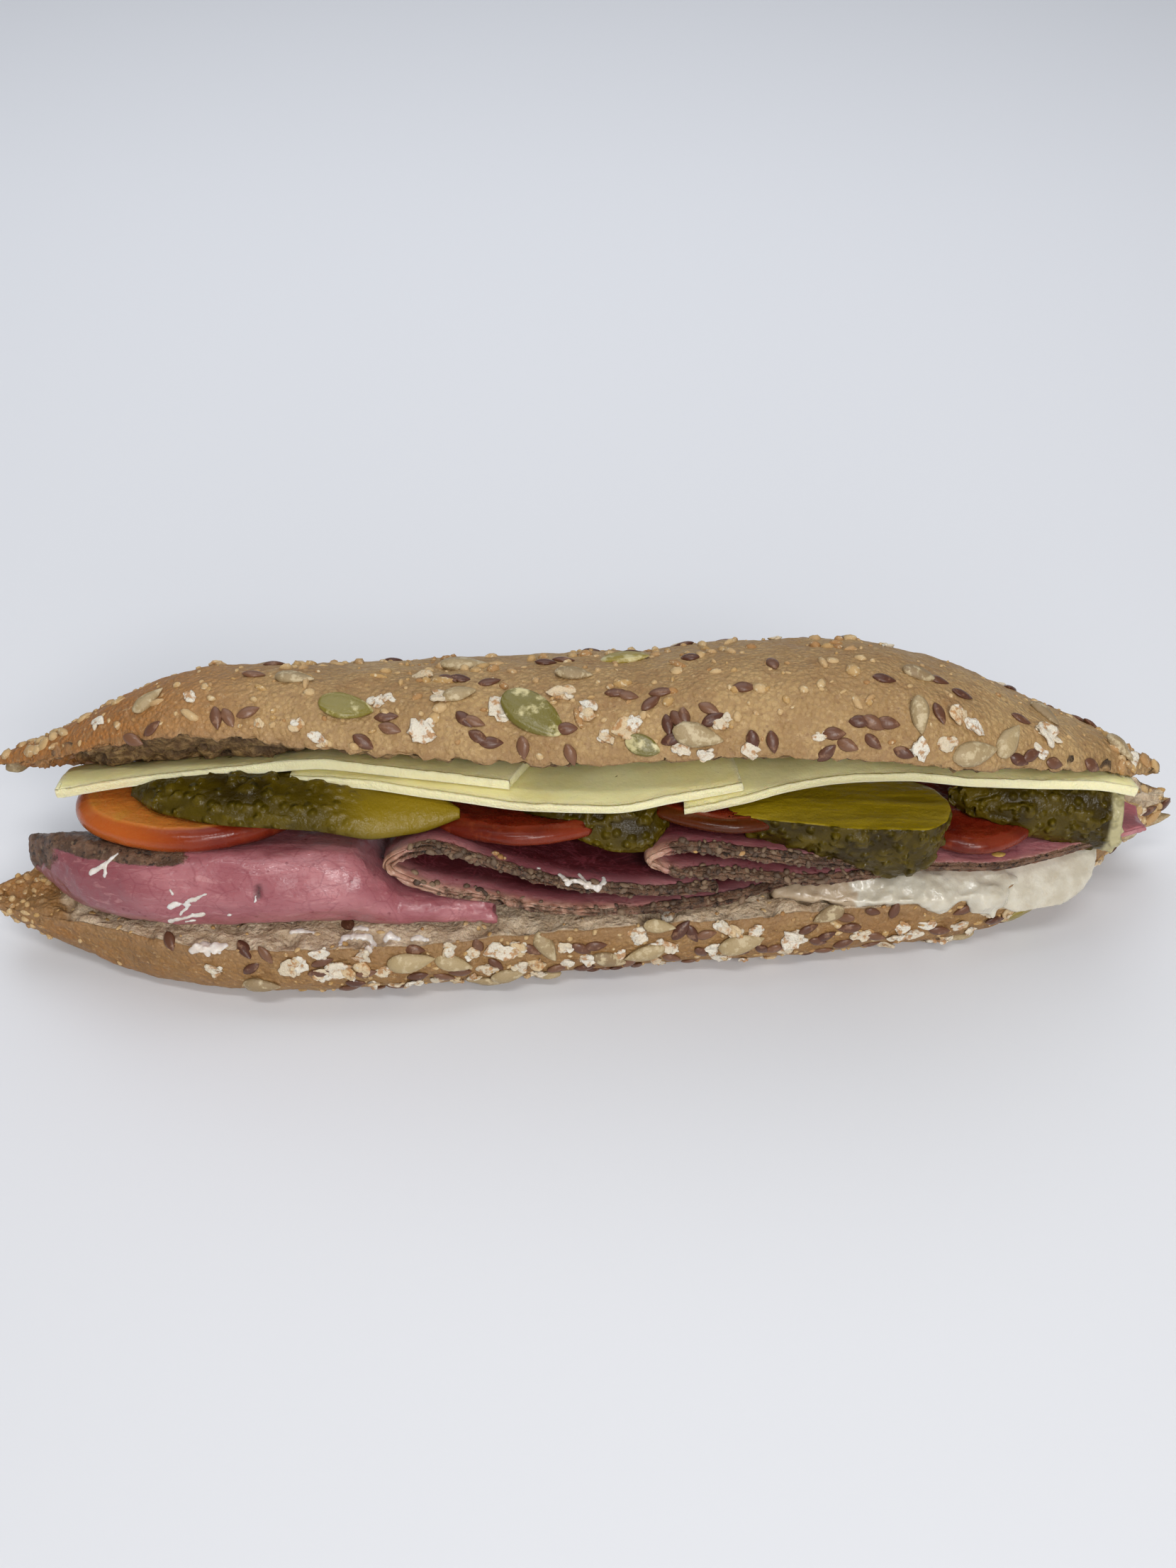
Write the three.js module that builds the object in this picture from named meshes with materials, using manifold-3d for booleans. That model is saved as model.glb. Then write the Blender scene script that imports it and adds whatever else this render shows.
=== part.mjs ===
// A long seeded roll, cut and filled with sliced roast beef, tomato, gherkin, cheese and a white dressing.
// Its upper half leans back, so that the filling shows along the front.
// Millimetres. +X runs along the roll, +Y goes to its back, +Z is up.
// The origin is on the table under the middle of the roll.
import * as THREE from "three";
import { mergeVertices } from "three/addons/utils/BufferGeometryUtils.js";
import Module from "manifold-3d";

const wasm = await Module();
wasm.setup();

// Driving dimensions
const GAP = 0.45; // air left between two pieces that lie on each other
const BEEF = 2.2; // thickness of a slice of beef
const CHEESE = 2.7; // thickness of a slice of cheese
const LAYERS = 4.4; // least distance between the middles of two layers of a folded slice

const BOTTOM = {
  yaw: 0.105, // how far the lower half turns, as a slope of Y against X
  forward: 1.5, // how far in front of the origin its middle lies
  depth: 20.6, // from the cut face to the underside, before the base is flattened
  corner: 3.2, // power of the section: 2 is an ellipse, more is boxier
  pinch: 0.07, // share by which the cut edge is narrower than the belly
};

const TOP = {
  backset: 3, // how far behind the origin the middle of the upper half lies
  corner: 2.3, // power of its section
};

// Longest, middle and shortest size of each kind of seed and flake
const SEEDS = {
  pumpkin: { length: 13.5, width: 7.6, thick: 2.6 },
  sunflower: { length: 9.4, width: 4.6, thick: 2.6 },
  oat: { length: 6.2, width: 4.4, thick: 1.8 },
  linseed: { length: 5.0, width: 2.6, thick: 1.7 },
};

// Small tools

const clamp = (x, low, high) => Math.min(high, Math.max(low, x));
const mix = (a, b, t) => a + (b - a) * t;
const smooth = (low, high, x) => {
  const t = clamp((x - low) / (high - low), 0, 1);
  return t * t * (3 - 2 * t);
};
// The lower of two heights, rounded off over about r where they meet.
const softMin = (a, b, r) => {
  const h = clamp(0.5 + (b - a) / (2 * r), 0, 1);
  return mix(b, a, h) - r * h * (1 - h);
};

// A smooth line through a few [x, value] knots that never overshoots them.
function through(...knots) {
  const n = knots.length;
  const slope = [];
  for (let i = 0; i + 1 < n; i++) {
    slope.push((knots[i + 1][1] - knots[i][1]) / (knots[i + 1][0] - knots[i][0]));
  }
  const tangent = knots.map((_, i) => {
    if (i === 0) return slope[0];
    if (i === n - 1) return slope[n - 2];
    const [a, b] = [slope[i - 1], slope[i]];
    return a * b <= 0 ? 0 : (2 * a * b) / (a + b);
  });
  return (x) => {
    const at = clamp(x, knots[0][0], knots[n - 1][0]);
    let i = 0;
    while (i < n - 2 && at > knots[i + 1][0]) i++;
    const width = knots[i + 1][0] - knots[i][0];
    const t = (at - knots[i][0]) / width;
    const [t2, t3] = [t * t, t * t * t];
    return (
      (2 * t3 - 3 * t2 + 1) * knots[i][1] +
      (t3 - 2 * t2 + t) * width * tangent[i] +
      (3 * t2 - 2 * t3) * knots[i + 1][1] +
      (t3 - t2) * width * tangent[i + 1]
    );
  };
}

// Seeded random numbers, the same on every run.
function dice(seed) {
  let state = seed >>> 0;
  return () => {
    state = (state + 0x6d2b79f5) >>> 0;
    let t = state;
    t = Math.imul(t ^ (t >>> 15), t | 1);
    t ^= t + Math.imul(t ^ (t >>> 7), t | 61);
    return ((t ^ (t >>> 14)) >>> 0) / 4294967296;
  };
}

// Smooth lumps between -1 and 1, about one unit across.
function lumps(x, y, z) {
  const corner = (i, j, k) => {
    const s = Math.sin(i * 127.1 + j * 311.7 + k * 74.7) * 43758.5453;
    return 2 * (s - Math.floor(s)) - 1;
  };
  const [i, j, k] = [Math.floor(x), Math.floor(y), Math.floor(z)];
  const [u, v, w] = [smooth(0, 1, x - i), smooth(0, 1, y - j), smooth(0, 1, z - k)];
  const edge = (b, c) => mix(corner(i, j + b, k + c), corner(i + 1, j + b, k + c), u);
  return mix(mix(edge(0, 0), edge(1, 0), v), mix(edge(0, 1), edge(1, 1), v), w);
}

// A closed mesh from points and triangles given by point number, turned so that its faces look outward.
function meshOf(points, faces) {
  let volume = 0;
  for (let i = 0; i < faces.length; i += 3) {
    const [a, b, c] = [points[faces[i]], points[faces[i + 1]], points[faces[i + 2]]];
    volume += a.dot(b.clone().cross(c));
  }
  const geometry = new THREE.BufferGeometry();
  const numbers = points.flatMap((p) => p.toArray());
  geometry.setAttribute("position", new THREE.Float32BufferAttribute(numbers, 3));
  geometry.setIndex(volume < 0 ? faces.slice().reverse() : faces);
  return geometry;
}

function toManifold(geometry) {
  const bare = geometry.index ? geometry.clone() : mergeVertices(geometry);
  for (const name of Object.keys(bare.attributes)) {
    if (name !== "position") bare.deleteAttribute(name);
  }
  const merged = mergeVertices(bare, 1e-4);
  return new wasm.Manifold(
    new wasm.Mesh({
      numProp: 3,
      vertProperties: merged.attributes.position.array,
      triVerts: new Uint32Array(merged.index.array),
    }),
  );
}

// The largest body of a solid, as a geometry, so that a loose scrap left by a cut is dropped.
function toGeometry(solid) {
  const body = solid.decompose().sort((a, b) => b.volume() - a.volume())[0];
  const mesh = body.getMesh();
  const points = [];
  for (let i = 0; i < mesh.numVert; i++) {
    points.push(new THREE.Vector3(...mesh.vertProperties.slice(i * mesh.numProp, i * mesh.numProp + 3)));
  }
  return meshOf(points, [...mesh.triVerts]);
}

// A closed body through rings of points, each ring a closed loop, with a fan over the first and the last.
function loftOf(rings) {
  const round = rings[0].length;
  const points = rings.flat();
  const faces = [];
  for (let i = 0; i + 1 < rings.length; i++) {
    for (let j = 0; j < round; j++) {
      const [a, b] = [i * round + j, i * round + ((j + 1) % round)];
      const [c, d] = [a + round, b + round];
      faces.push(a, b, d, a, d, c);
    }
  }
  for (const [start, turn] of [[0, 1], [(rings.length - 1) * round, -1]]) {
    const middle = new THREE.Vector3();
    for (let j = 0; j < round; j++) middle.add(points[start + j]);
    const centre = points.push(middle.divideScalar(round)) - 1;
    for (let j = 0; j < round; j++) {
      const [a, b] = [start + j, start + ((j + 1) % round)];
      faces.push(...(turn > 0 ? [centre, b, a] : [centre, a, b]));
    }
  }
  return meshOf(points, faces);
}

// A slice: a middle surface over (u, v) from 0 to 1, given half its thickness to each side.
function sliceOf(stepsU, stepsV, middle, thickness) {
  const reach = 1e-3;
  const at = (u, v) => middle(clamp(u, 0, 1), clamp(v, 0, 1));
  const sides = [[], []];
  for (let i = 0; i <= stepsU; i++) {
    for (let j = 0; j <= stepsV; j++) {
      const [u, v] = [i / stepsU, j / stepsV];
      const along = at(u + reach, v).sub(at(u - reach, v));
      const across = at(u, v + reach).sub(at(u, v - reach));
      const out = along.cross(across).normalize().multiplyScalar(thickness(u, v) / 2);
      sides[0].push(at(u, v).add(out));
      sides[1].push(at(u, v).sub(out));
    }
  }
  const count = sides[0].length;
  const number = (i, j) => i * (stepsV + 1) + j;
  const faces = [];
  for (let i = 0; i < stepsU; i++) {
    for (let j = 0; j < stepsV; j++) {
      const [a, b, c, d] = [number(i, j), number(i + 1, j), number(i + 1, j + 1), number(i, j + 1)];
      faces.push(a, b, c, a, c, d);
      faces.push(count + a, count + c, count + b, count + a, count + d, count + c);
    }
  }
  const wall = (a, b) => faces.push(b, a, count + a, b, count + a, count + b);
  for (let i = 0; i < stepsU; i++) {
    wall(number(i, 0), number(i + 1, 0));
    wall(number(i + 1, stepsV), number(i, stepsV));
  }
  for (let j = 0; j < stepsV; j++) {
    wall(number(stepsU, j), number(stepsU, j + 1));
    wall(number(0, j + 1), number(0, j));
  }
  return meshOf([...sides[0], ...sides[1]], faces);
}

// The lower half of the roll

const bottomMiddle = (x) => BOTTOM.yaw * x - BOTTOM.forward;
const bottomWidth = through(
  [-138, 2.5], [-131, 7], [-118, 13.5], [-107, 18.6], [-98, 23], [-80, 28.5], [-50, 31.6],
  [70, 31.6], [93, 28.5], [112, 19], [126, 11], [136, 5], [141, 2],
);
const cutHeight = through(
  [-138, 15], [-118, 17.5], [-90, 18.6], [0, 18.2], [90, 18.8], [118, 19.5], [130, 21], [141, 19],
);
const bottomDepth = through(
  [-138, 2.5], [-130, 8], [-118, 14], [-104, 18.6], [-88, BOTTOM.depth],
  [92, BOTTOM.depth], [112, 19], [126, 15], [136, 8], [141, 3],
);

// A point of the lower crust: turn runs from 0 at the front edge, under the roll, to 1 at the back edge.
function bottomCrust(x, turn) {
  const angle = Math.PI * turn;
  const power = 2 / BOTTOM.corner;
  const down = Math.abs(Math.sin(angle)) ** power;
  const side = -Math.sign(Math.cos(angle)) * Math.abs(Math.cos(angle)) ** power;
  const width = bottomWidth(x) * (1 - BOTTOM.pinch * (1 - down) ** 2);
  const relief = 0.5 * lumps(x / 17, turn * 6, 3.1);
  return new THREE.Vector3(
    x,
    bottomMiddle(x) + side * (width + relief),
    cutHeight(x) - down * (bottomDepth(x) + relief),
  );
}

// The upper half of the roll, leaning back

const lean = through([-136, 42], [-86, 42], [-46, 34], [0, 28], [57, 26], [98, 22], [134, 20]);
const topSpine = through(
  [-136, 38.4], [-124, 38.8], [-111, 41.6], [-86, 46], [-46, 46], [0, 47], [34, 49.6],
  [57, 49.6], [82, 46.8], [98, 45.2], [114, 42], [126, 37.8], [134, 36],
);
const topWidth = through(
  [-136, 2], [-128, 7.5], [-118, 13.5], [-100, 21], [-80, 26], [-50, 28.5],
  [66, 28.5], [84, 25], [98, 19.5], [112, 13], [123, 7], [132, 1.8],
);
const topHeight = through(
  [-136, 1.8], [-128, 5], [-118, 8.4], [-100, 13], [-80, 16.6], [-40, 17.5], [0, 18],
  [30, 18.4], [60, 19.4], [80, 17], [96, 11.6], [112, 7], [123, 4.4], [132, 1.8],
);

// A point of the upper half in its own leaning frame: across from front to back, and up from the cut face.
function topPoint(x, across, up) {
  const a = THREE.MathUtils.degToRad(lean(x));
  return new THREE.Vector3(
    x,
    TOP.backset + across * Math.cos(a) + up * Math.sin(a),
    topSpine(x) - across * Math.sin(a) + up * Math.cos(a),
  );
}

function topCrust(x, turn) {
  const angle = Math.PI * turn;
  const power = 2 / TOP.corner;
  const up = Math.abs(Math.sin(angle)) ** power;
  const side = -Math.sign(Math.cos(angle)) * Math.abs(Math.cos(angle)) ** power;
  const relief = 0.7 * lumps(x / 15, turn * 5, 7.7);
  return topPoint(x, side * (topWidth(x) + relief), up * (topHeight(x) + relief));
}

// Height of the upper half's cut face over a point of the table.
function lidHeight(x, y) {
  return topSpine(x) - (y - TOP.backset) * Math.tan(THREE.MathUtils.degToRad(lean(x)));
}

// A half of the roll as a loft of its crust and its torn face, with rings closer together towards the tips.
function halfRoll(left, right, crust, crumb, rings, crustSteps, faceSteps) {
  const loops = [];
  for (let i = 0; i < rings; i++) {
    const s = -Math.cos((Math.PI * (i + 0.5)) / rings) / Math.cos(Math.PI / (2 * rings));
    const x = mix(left, right, (0.55 * s + 0.45 * ((2 * i) / (rings - 1) - 1) + 1) / 2);
    const loop = [];
    for (let j = 0; j <= crustSteps; j++) loop.push(crust(x, j / crustSteps));
    for (let j = 1; j < faceSteps; j++) {
      const t = j / faceSteps;
      const point = crust(x, 1).lerp(crust(x, 0), t);
      loop.push(point.add(crumb(x, t, Math.min(1, 4 * t * (1 - t)))));
    }
    loops.push(loop);
  }
  return loftOf(loops);
}

// Fillings

// A slice of cheese: nearly level along the front and following the upper half down towards the back.
const CHEESES = {
  cheese_1: {
    left: -118,
    right: -17,
    slant: 16,
    front: through([-117, -12], [-60, -12.5], [-40, -15], [-12, -18.5]),
    back: through([-118, 12], [-100, 18], [-80, 21], [-16, 22]),
    height: through([-117, 42.8], [-100, 46.8], [-80, 50], [-60, 52.8], [-40, 52.2], [-12, 50.6]),
    below: through([-117, 3.5], [-90, 7], [-72, 5.4], [-58, 2.4]),
  },
  cheese_2: {
    left: -65,
    right: 33.5,
    slant: -6,
    front: through([-66, -14], [-50, -15.5], [-34, -18.5], [-12, -20.8], [5, -21], [20, -19], [40, -16.5]),
    back: () => 24,
    height: through([-66, 49.2], [-50, 49.4], [-30, 48.6], [-12, 46.9], [5, 46.5], [18, 47.8], [38, 50.4]),
    below: through([-66, 7.4], [-58, 5.8], [-14, 5.6], [8, 2.4]),
  },
  cheese_3: {
    left: 21,
    right: 123,
    slant: 0,
    front: through([18, -20.5], [34, -18], [44, -15], [56, -12.8], [70, -12], [100, -11.5], [125, -9]),
    back: through([20, 24], [85, 23], [105, 17], [123, 9]),
    height: through(
      [18, 44.2], [34, 46.6], [50, 47.8], [70, 48], [86, 46.2], [100, 45.8], [112, 46], [125, 45],
    ),
    below: through([18, 5.8], [40, 5.8], [60, 2.2]),
  },
};

function cheeseOf({ left, right, slant, front, back, height, below }, grow) {
  const middle = (u, v) => {
    const x0 = mix(left - grow, right + grow, u);
    const y = mix(front(x0) - grow, back(x0) + grow, v);
    const x = x0 + slant * u * v;
    const lid = lidHeight(x, y) - below(x);
    return new THREE.Vector3(x, y, softMin(height(x), lid, 7));
  };
  return sliceOf(12, 4, middle, () => CHEESE + 2 * grow);
}

// A fold of beef open at the back: it comes forward along the bread, turns up and goes back over itself.
function beefFold(grow) {
  const station = through([0, -127], [0.42, -84], [0.62, -57], [0.86, -42], [1, -21]);
  const front = through(
    [-127, -14], [-118, -23], [-108, -29], [-90, -32.6], [-60, -32], [-40, -30], [-21, -28.5],
  );
  const low = through([-127, 21.5], [-112, 20.2], [-60, 20.2], [-21, 20.2]);
  const high = through(
    [-127, 29], [-115, 35.5], [-92, 37.6], [-60, 37.2], [-52, 36], [-47, 30.6], [-41, 25.8], [-21, 23.5],
  );
  const back = (x) => bottomMiddle(x) + 0.6 * bottomWidth(x);
  const middle = (u, v) => {
    const x = station(u) + (u === 0 ? -grow : u === 1 ? grow : 0);
    const r = (high(x) - low(x)) / 2;
    const bend = clamp((v - 0.2) / 0.6, 0, 1) * Math.PI;
    const y0 = front(x) + 0.8 * r;
    if (v < 0.2) return new THREE.Vector3(x, mix(back(x) + grow, y0, v / 0.2), low(x));
    if (v > 0.8) {
      const t = (v - 0.8) / 0.2;
      return new THREE.Vector3(x, mix(y0, back(x) + grow, t), mix(high(x), low(x) + 3.1, t));
    }
    return new THREE.Vector3(x, y0 - 0.8 * r * Math.sin(bend), (high(x) + low(x)) / 2 - r * Math.cos(bend));
  };
  return sliceOf(13, 9, middle, () => BEEF + 2 * grow);
}

// A folded slice of beef seen edge on: the fold is at its left, and it opens to the right in two layers.
// The path gives [x, z] along it, from the end of the lower layer round the fold to the end of the upper one.
const FOLDS = {
  beef_2: {
    path: [
      [46, 23], [28, 22.2], [10, 21.8], [-8, 23], [-22, 26.4], [-34, 28.4],
      [-43.8, 34.8], [-35, 41], [-21, 37], [-6, 31.4], [10, 28], [28, 27],
    ],
    floor: through([-34, 28.4], [-22, 26.4], [-8, 23], [10, 21.8], [28, 22.2], [46, 23]),
    front: through([-47, -26.5], [-36, -27.6], [-10, -28.8], [10, -28], [28, -25.8], [46, -20]),
    back: 21,
    sag: 0.26,
  },
  beef_3: {
    path: [
      [66, 26.4], [48, 28.6], [30, 30.6], [19, 31.2], [13.5, 34.8],
      [19, 38.2], [34, 37], [50, 34.2], [62, 31], [70, 29.6],
    ],
    floor: through([19, 31.2], [30, 30.6], [48, 28.6], [66, 26.4]),
    front: through([12, -25], [46, -25.5], [70, -20]),
    back: 22,
    sag: 0.12,
  },
};

function edgeFold({ path, floor, front, back, sag }, grow) {
  const curve = new THREE.CatmullRomCurve3(path.map(([x, z]) => new THREE.Vector3(x, 0, z)));
  const middle = (u, v) => {
    const p = curve.getPoint(u);
    if (u === 0 || u === 1) p.x += grow;
    const y = mix(front(p.x) - grow, back + grow, v);
    // The upper layer sags towards the back, and stays clear of the lower one.
    const room = Math.max(0, p.z - floor(p.x) - LAYERS);
    const fall = sag * (y - front(p.x) + grow);
    return new THREE.Vector3(p.x, y, p.z - (fall * room) / (fall + room + 0.01));
  };
  return sliceOf(20, 4, middle, () => BEEF + 2 * grow);
}

// A single slice of beef lying out to the right-hand tip.
function beefLeaf(grow) {
  const front = through([68, -19.5], [90, -18.5], [104, -15], [116, -11], [129, -6.5]);
  const back = through([68, 22], [95, 20], [112, 12], [129, 1.5]);
  const middle = (u, v) => {
    const x = mix(68 - grow, 129 + grow, u);
    const y = mix(front(x) - grow, back(x) + grow, v);
    return new THREE.Vector3(x, y, 25.4 + 0.7 * Math.sin(x / 9) + 0.8 * Math.cos(v * 5));
  };
  return sliceOf(8, 4, middle, () => BEEF + 2 * grow);
}

// A round slice with a bulging rim, tipped down towards the back by the slope tip.
const TOMATOES = {
  tomato_1: { at: [-89, -5, 35], radius: [27.5, 22.5], thick: 7.4, tip: -0.3, roll: 0.01 },
  tomato_2: { at: [-15, -4, 35], radius: [25.5, 22.5], thick: 5.6, tip: -0.31, roll: 0 },
  tomato_3: { at: [30, -4, 37.6], radius: [22, 20], thick: 4.4, tip: -0.28, roll: -0.05 },
  tomato_4: { at: [87, -1, 29.4], radius: [17, 17.5], thick: 5, tip: -0.12, roll: 0 },
};

function discOf({ at, radius, thick, tip, roll }, grow) {
  const steps = 18;
  const profile = [[0.88, 1], [1, 0.3], [0.98, -0.5], [0.85, -1]];
  const rings = profile.map(([r, h]) => {
    const ring = [];
    for (let j = 0; j < steps; j++) {
      const a = (2 * Math.PI * j) / steps;
      const x = at[0] + Math.cos(a) * (r * radius[0] + grow);
      const y = at[1] + Math.sin(a) * (r * radius[1] + grow);
      const z = at[2] + tip * (y - at[1]) + roll * (x - at[0]) + h * (thick / 2 + grow);
      ring.push(new THREE.Vector3(x, y, z));
    }
    return ring;
  });
  return loftOf(rings);
}

// A gherkin cut lengthwise: a flat face and a bulging skin around a line from end to end.
// The skin looks along (0, cos, sin) of the angle given in degrees.
const GHERKINS = {
  pickle_1: {
    left: -101,
    right: -28,
    y: through([-101, -12], [-80, -13.4], [-45, -14.8], [-28, -19]),
    z: through([-101, 43.6], [-80, 44.4], [-60, 44], [-45, 42.4], [-28, 43.4]),
    width: through([-101, 1.5], [-93, 7.5], [-75, 11], [-50, 11], [-38, 7.5], [-28, 1.2]),
    depth: through([-101, 1.5], [-93, 4], [-75, 5.4], [-50, 5.4], [-38, 4], [-28, 1.2]),
    skin: through([-101, 86], [-60, 90], [-28, 104]),
  },
  pickle_2: {
    left: -16,
    right: 18,
    y: () => -15,
    z: through([-16, 43.4], [5, 40.6], [18, 39.6]),
    width: through([-16, 1.5], [-6, 6], [8, 9.4], [14, 8.6], [18, 3]),
    depth: through([-16, 1], [-6, 4], [8, 5.6], [14, 5], [18, 2]),
    skin: () => 122,
  },
  pickle_3: {
    left: 23,
    right: 80,
    y: through([23, -17], [40, -15], [60, -14], [80, -14]),
    z: through([23, 43], [40, 42.6], [60, 41.8], [80, 41.2]),
    width: through([23, 1.5], [32, 5], [46, 9], [60, 11.4], [72, 11.4], [78, 7.5], [80, 2.5]),
    depth: through([23, 1.5], [32, 5.5], [46, 11], [60, 15.5], [70, 17.6], [77, 13], [80, 4]),
    skin: () => 257,
  },
  pickle_4: {
    left: 82,
    right: 121,
    y: through([82, -6], [100, -4.5], [121, -3]),
    z: through([82, 37], [100, 33.8], [121, 31]),
    width: through([82, 1.5], [88, 4.6], [100, 8.2], [121, 11]),
    depth: through([82, 1.5], [88, 4.6], [100, 8], [121, 9.5]),
    skin: through([82, 165], [121, 160]),
  },
};

function gherkinOf({ left, right, y, z, width, depth, skin }, grow) {
  const rings = [];
  const steps = 12;
  for (let i = 0; i <= steps; i++) {
    const x = mix(left, right, i / steps);
    const a = THREE.MathUtils.degToRad(skin(x));
    const out = new THREE.Vector3(0, Math.cos(a), Math.sin(a));
    const across = new THREE.Vector3(0, -Math.sin(a), Math.cos(a));
    const centre = new THREE.Vector3(x + (i === 0 ? -grow : i === steps ? grow : 0), y(x), z(x));
    const ring = [];
    for (let j = 0; j <= 8; j++) {
      const b = (Math.PI * j) / 8;
      const bump = 0.35 * lumps(x / 4, j / 1.2, z(x));
      ring.push(
        centre
          .clone()
          .addScaledVector(across, Math.cos(b) * (width(x) + grow))
          .addScaledVector(out, Math.sin(b) * (depth(x) + grow + bump)),
      );
    }
    for (const t of [0.5, 0, -0.5]) {
      ring.push(centre.clone().addScaledVector(across, -t * width(x)).addScaledVector(out, -grow - 0.4));
    }
    rings.push(ring);
  }
  return loftOf(rings);
}

// The dressing, first the bed of it that lies on the lower half
function bedOf() {
  const front = through([42, -21], [60, -24], [80, -23.5], [96, -19]);
  const middle = (u, v) => {
    const x = mix(42, 96, u);
    const y = mix(front(x), -4, v);
    const round = Math.min(1, 5 * v, 5 * (1 - v), 6 * u, 6 * (1 - u));
    return new THREE.Vector3(x, y, 20 + round * (1.4 + 0.6 * lumps(x / 5, y / 4, 0.5)));
  };
  return sliceOf(10, 4, middle, (u, v) => 2.4 + 2 * Math.min(1, 4 * v, 4 * (1 - v)));
}

// A thick tongue of dressing that runs over the edge of the lower half.
function tongueOf() {
  const curve = [[-2, 22], [-9, 21], [-13, 18.6], [-16, 15.6], [-18, 12.6]];
  const along = new THREE.CatmullRomCurve3(curve.map(([y, z]) => new THREE.Vector3(0, y, z)));
  const middle = (u, v) => {
    const p = along.getPoint(v);
    const half = mix(15, 13, v) * Math.sqrt(1 - 0.75 * v ** 4);
    return new THREE.Vector3(105 + (2 * u - 1) * half, p.y + 0.25 * (2 * u - 1) * half, p.z);
  };
  return sliceOf(8, 6, middle, (u, v) => 3.6 * Math.min(1, 0.35 + 5 * u * (1 - u)) * (1 - 0.35 * v));
}

// Drips between the bed and the tongue: x, y, z and radius
const DRIPS = [
  [91, -19.8, 18, 3.4],
  [79, -21.8, 19, 2.8],
];

// Seeds on the crust

const outward = (crust, x, turn) => {
  const along = crust(x + 0.5, turn).sub(crust(x - 0.5, turn));
  const round = crust(x, turn + 0.01).sub(crust(x, turn - 0.01));
  const out = along.cross(round).normalize();
  return crust === topCrust ? out : out.negate();
};

// One seed lying on a crust, a little sunk in, its length turned by spin from the length of the roll.
function seedOn(crust, kind, x, turn, spin) {
  const { length, width, thick } = SEEDS[kind];
  const out = outward(crust, x, turn);
  const along = crust(x + 0.5, turn).sub(crust(x - 0.5, turn)).applyAxisAngle(out, spin).normalize();
  const across = along.clone().cross(out);
  const place = new THREE.Matrix4().makeBasis(across, along, out);
  place.setPosition(crust(x, turn).addScaledVector(out, 0.3 * thick));
  const seed = new THREE.SphereGeometry(0.5, 5, 3);
  return seed.scale(width, length, thick).applyMatrix4(place);
}

// Seeds scattered over a crust where the rule allows them, larger ones first and none on another.
function scatter(crust, seed, wanted, allowed, fixed) {
  const roll = dice(seed);
  const taken = [];
  const seeds = [];
  const put = (kind, x, turn, spin) => {
    const at = crust(x, turn);
    const reach = SEEDS[kind].length / 2;
    if (taken.some((other) => other.at.distanceTo(at) < 0.95 * (reach + other.reach))) return false;
    taken.push({ at, reach });
    seeds.push(toManifold(seedOn(crust, kind, x, turn, spin)));
    return true;
  };
  for (const [kind, x, turn, spin] of fixed) put(kind, x, turn, spin);
  for (const [kind, count] of wanted) {
    let placed = 0;
    for (let tries = 0; tries < 4000 && placed < count; tries++) {
      const [x, turn, spin] = [mix(-130, 130, roll()), roll(), Math.PI * roll()];
      if (roll() < allowed(x, turn) && put(kind, x, turn, spin)) placed++;
    }
  }
  return seeds;
}

// Assembly

const shapes = {
  cheese_1: (grow) => cheeseOf(CHEESES.cheese_1, grow),
  cheese_2: (grow) => cheeseOf(CHEESES.cheese_2, grow),
  cheese_3: (grow) => cheeseOf(CHEESES.cheese_3, grow),
  pickle_3: (grow) => gherkinOf(GHERKINS.pickle_3, grow),
  pickle_4: (grow) => gherkinOf(GHERKINS.pickle_4, grow),
  beef_2: (grow) => edgeFold(FOLDS.beef_2, grow),
  beef_1: beefFold,
  beef_3: (grow) => edgeFold(FOLDS.beef_3, grow),
  beef_4: beefLeaf,
  pickle_1: (grow) => gherkinOf(GHERKINS.pickle_1, grow),
  pickle_2: (grow) => gherkinOf(GHERKINS.pickle_2, grow),
  tomato_1: (grow) => discOf(TOMATOES.tomato_1, grow),
  tomato_2: (grow) => discOf(TOMATOES.tomato_2, grow),
  tomato_3: (grow) => discOf(TOMATOES.tomato_3, grow),
  tomato_4: (grow) => discOf(TOMATOES.tomato_4, grow),
};

const COLOURS = {
  cheese: 0xe9dc9c,
  beef: 0xa8606c,
  pickle: 0x77752a,
  tomato: 0xbf4a2a,
  bread: 0xb98a58,
  mayonnaise: 0xeae3d3,
};

const group = new THREE.Group();
const grown = [];

function addNode(name, solid) {
  const geometry = toGeometry(solid);
  geometry.computeVertexNormals();
  const colour = COLOURS[name.split("_")[0]];
  const mesh = new THREE.Mesh(geometry, new THREE.MeshStandardMaterial({ color: colour, roughness: 0.6 }));
  mesh.name = name;
  group.add(mesh);
}

// Each filling gives way to those before it in the list, with a thin gap between them.
for (const [name, shape] of Object.entries(shapes)) {
  let solid = toManifold(shape(0));
  for (const other of grown) solid = solid.subtract(other);
  addNode(name, solid);
  grown.push(toManifold(shape(GAP)));
}

// The torn face: small lumps everywhere, and at the left of the upper half a pad of crumb that hangs down.
const lowerCrumb = (x, t, fade) => new THREE.Vector3(0, 0, 0.8 * fade * lumps(x / 4, t * 9, 1.7));

function upperCrumb(x, t, fade) {
  const pad = smooth(-118, -104, x) * (1 - smooth(-72, -56, x)) * smooth(0, 0.35, 1 - t);
  const down = (4.8 * pad + 0.8 * lumps(x / 4, t * 9, 4.2)) * fade;
  return topPoint(x, 0, -down).sub(topPoint(x, 0, 0));
}

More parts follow.
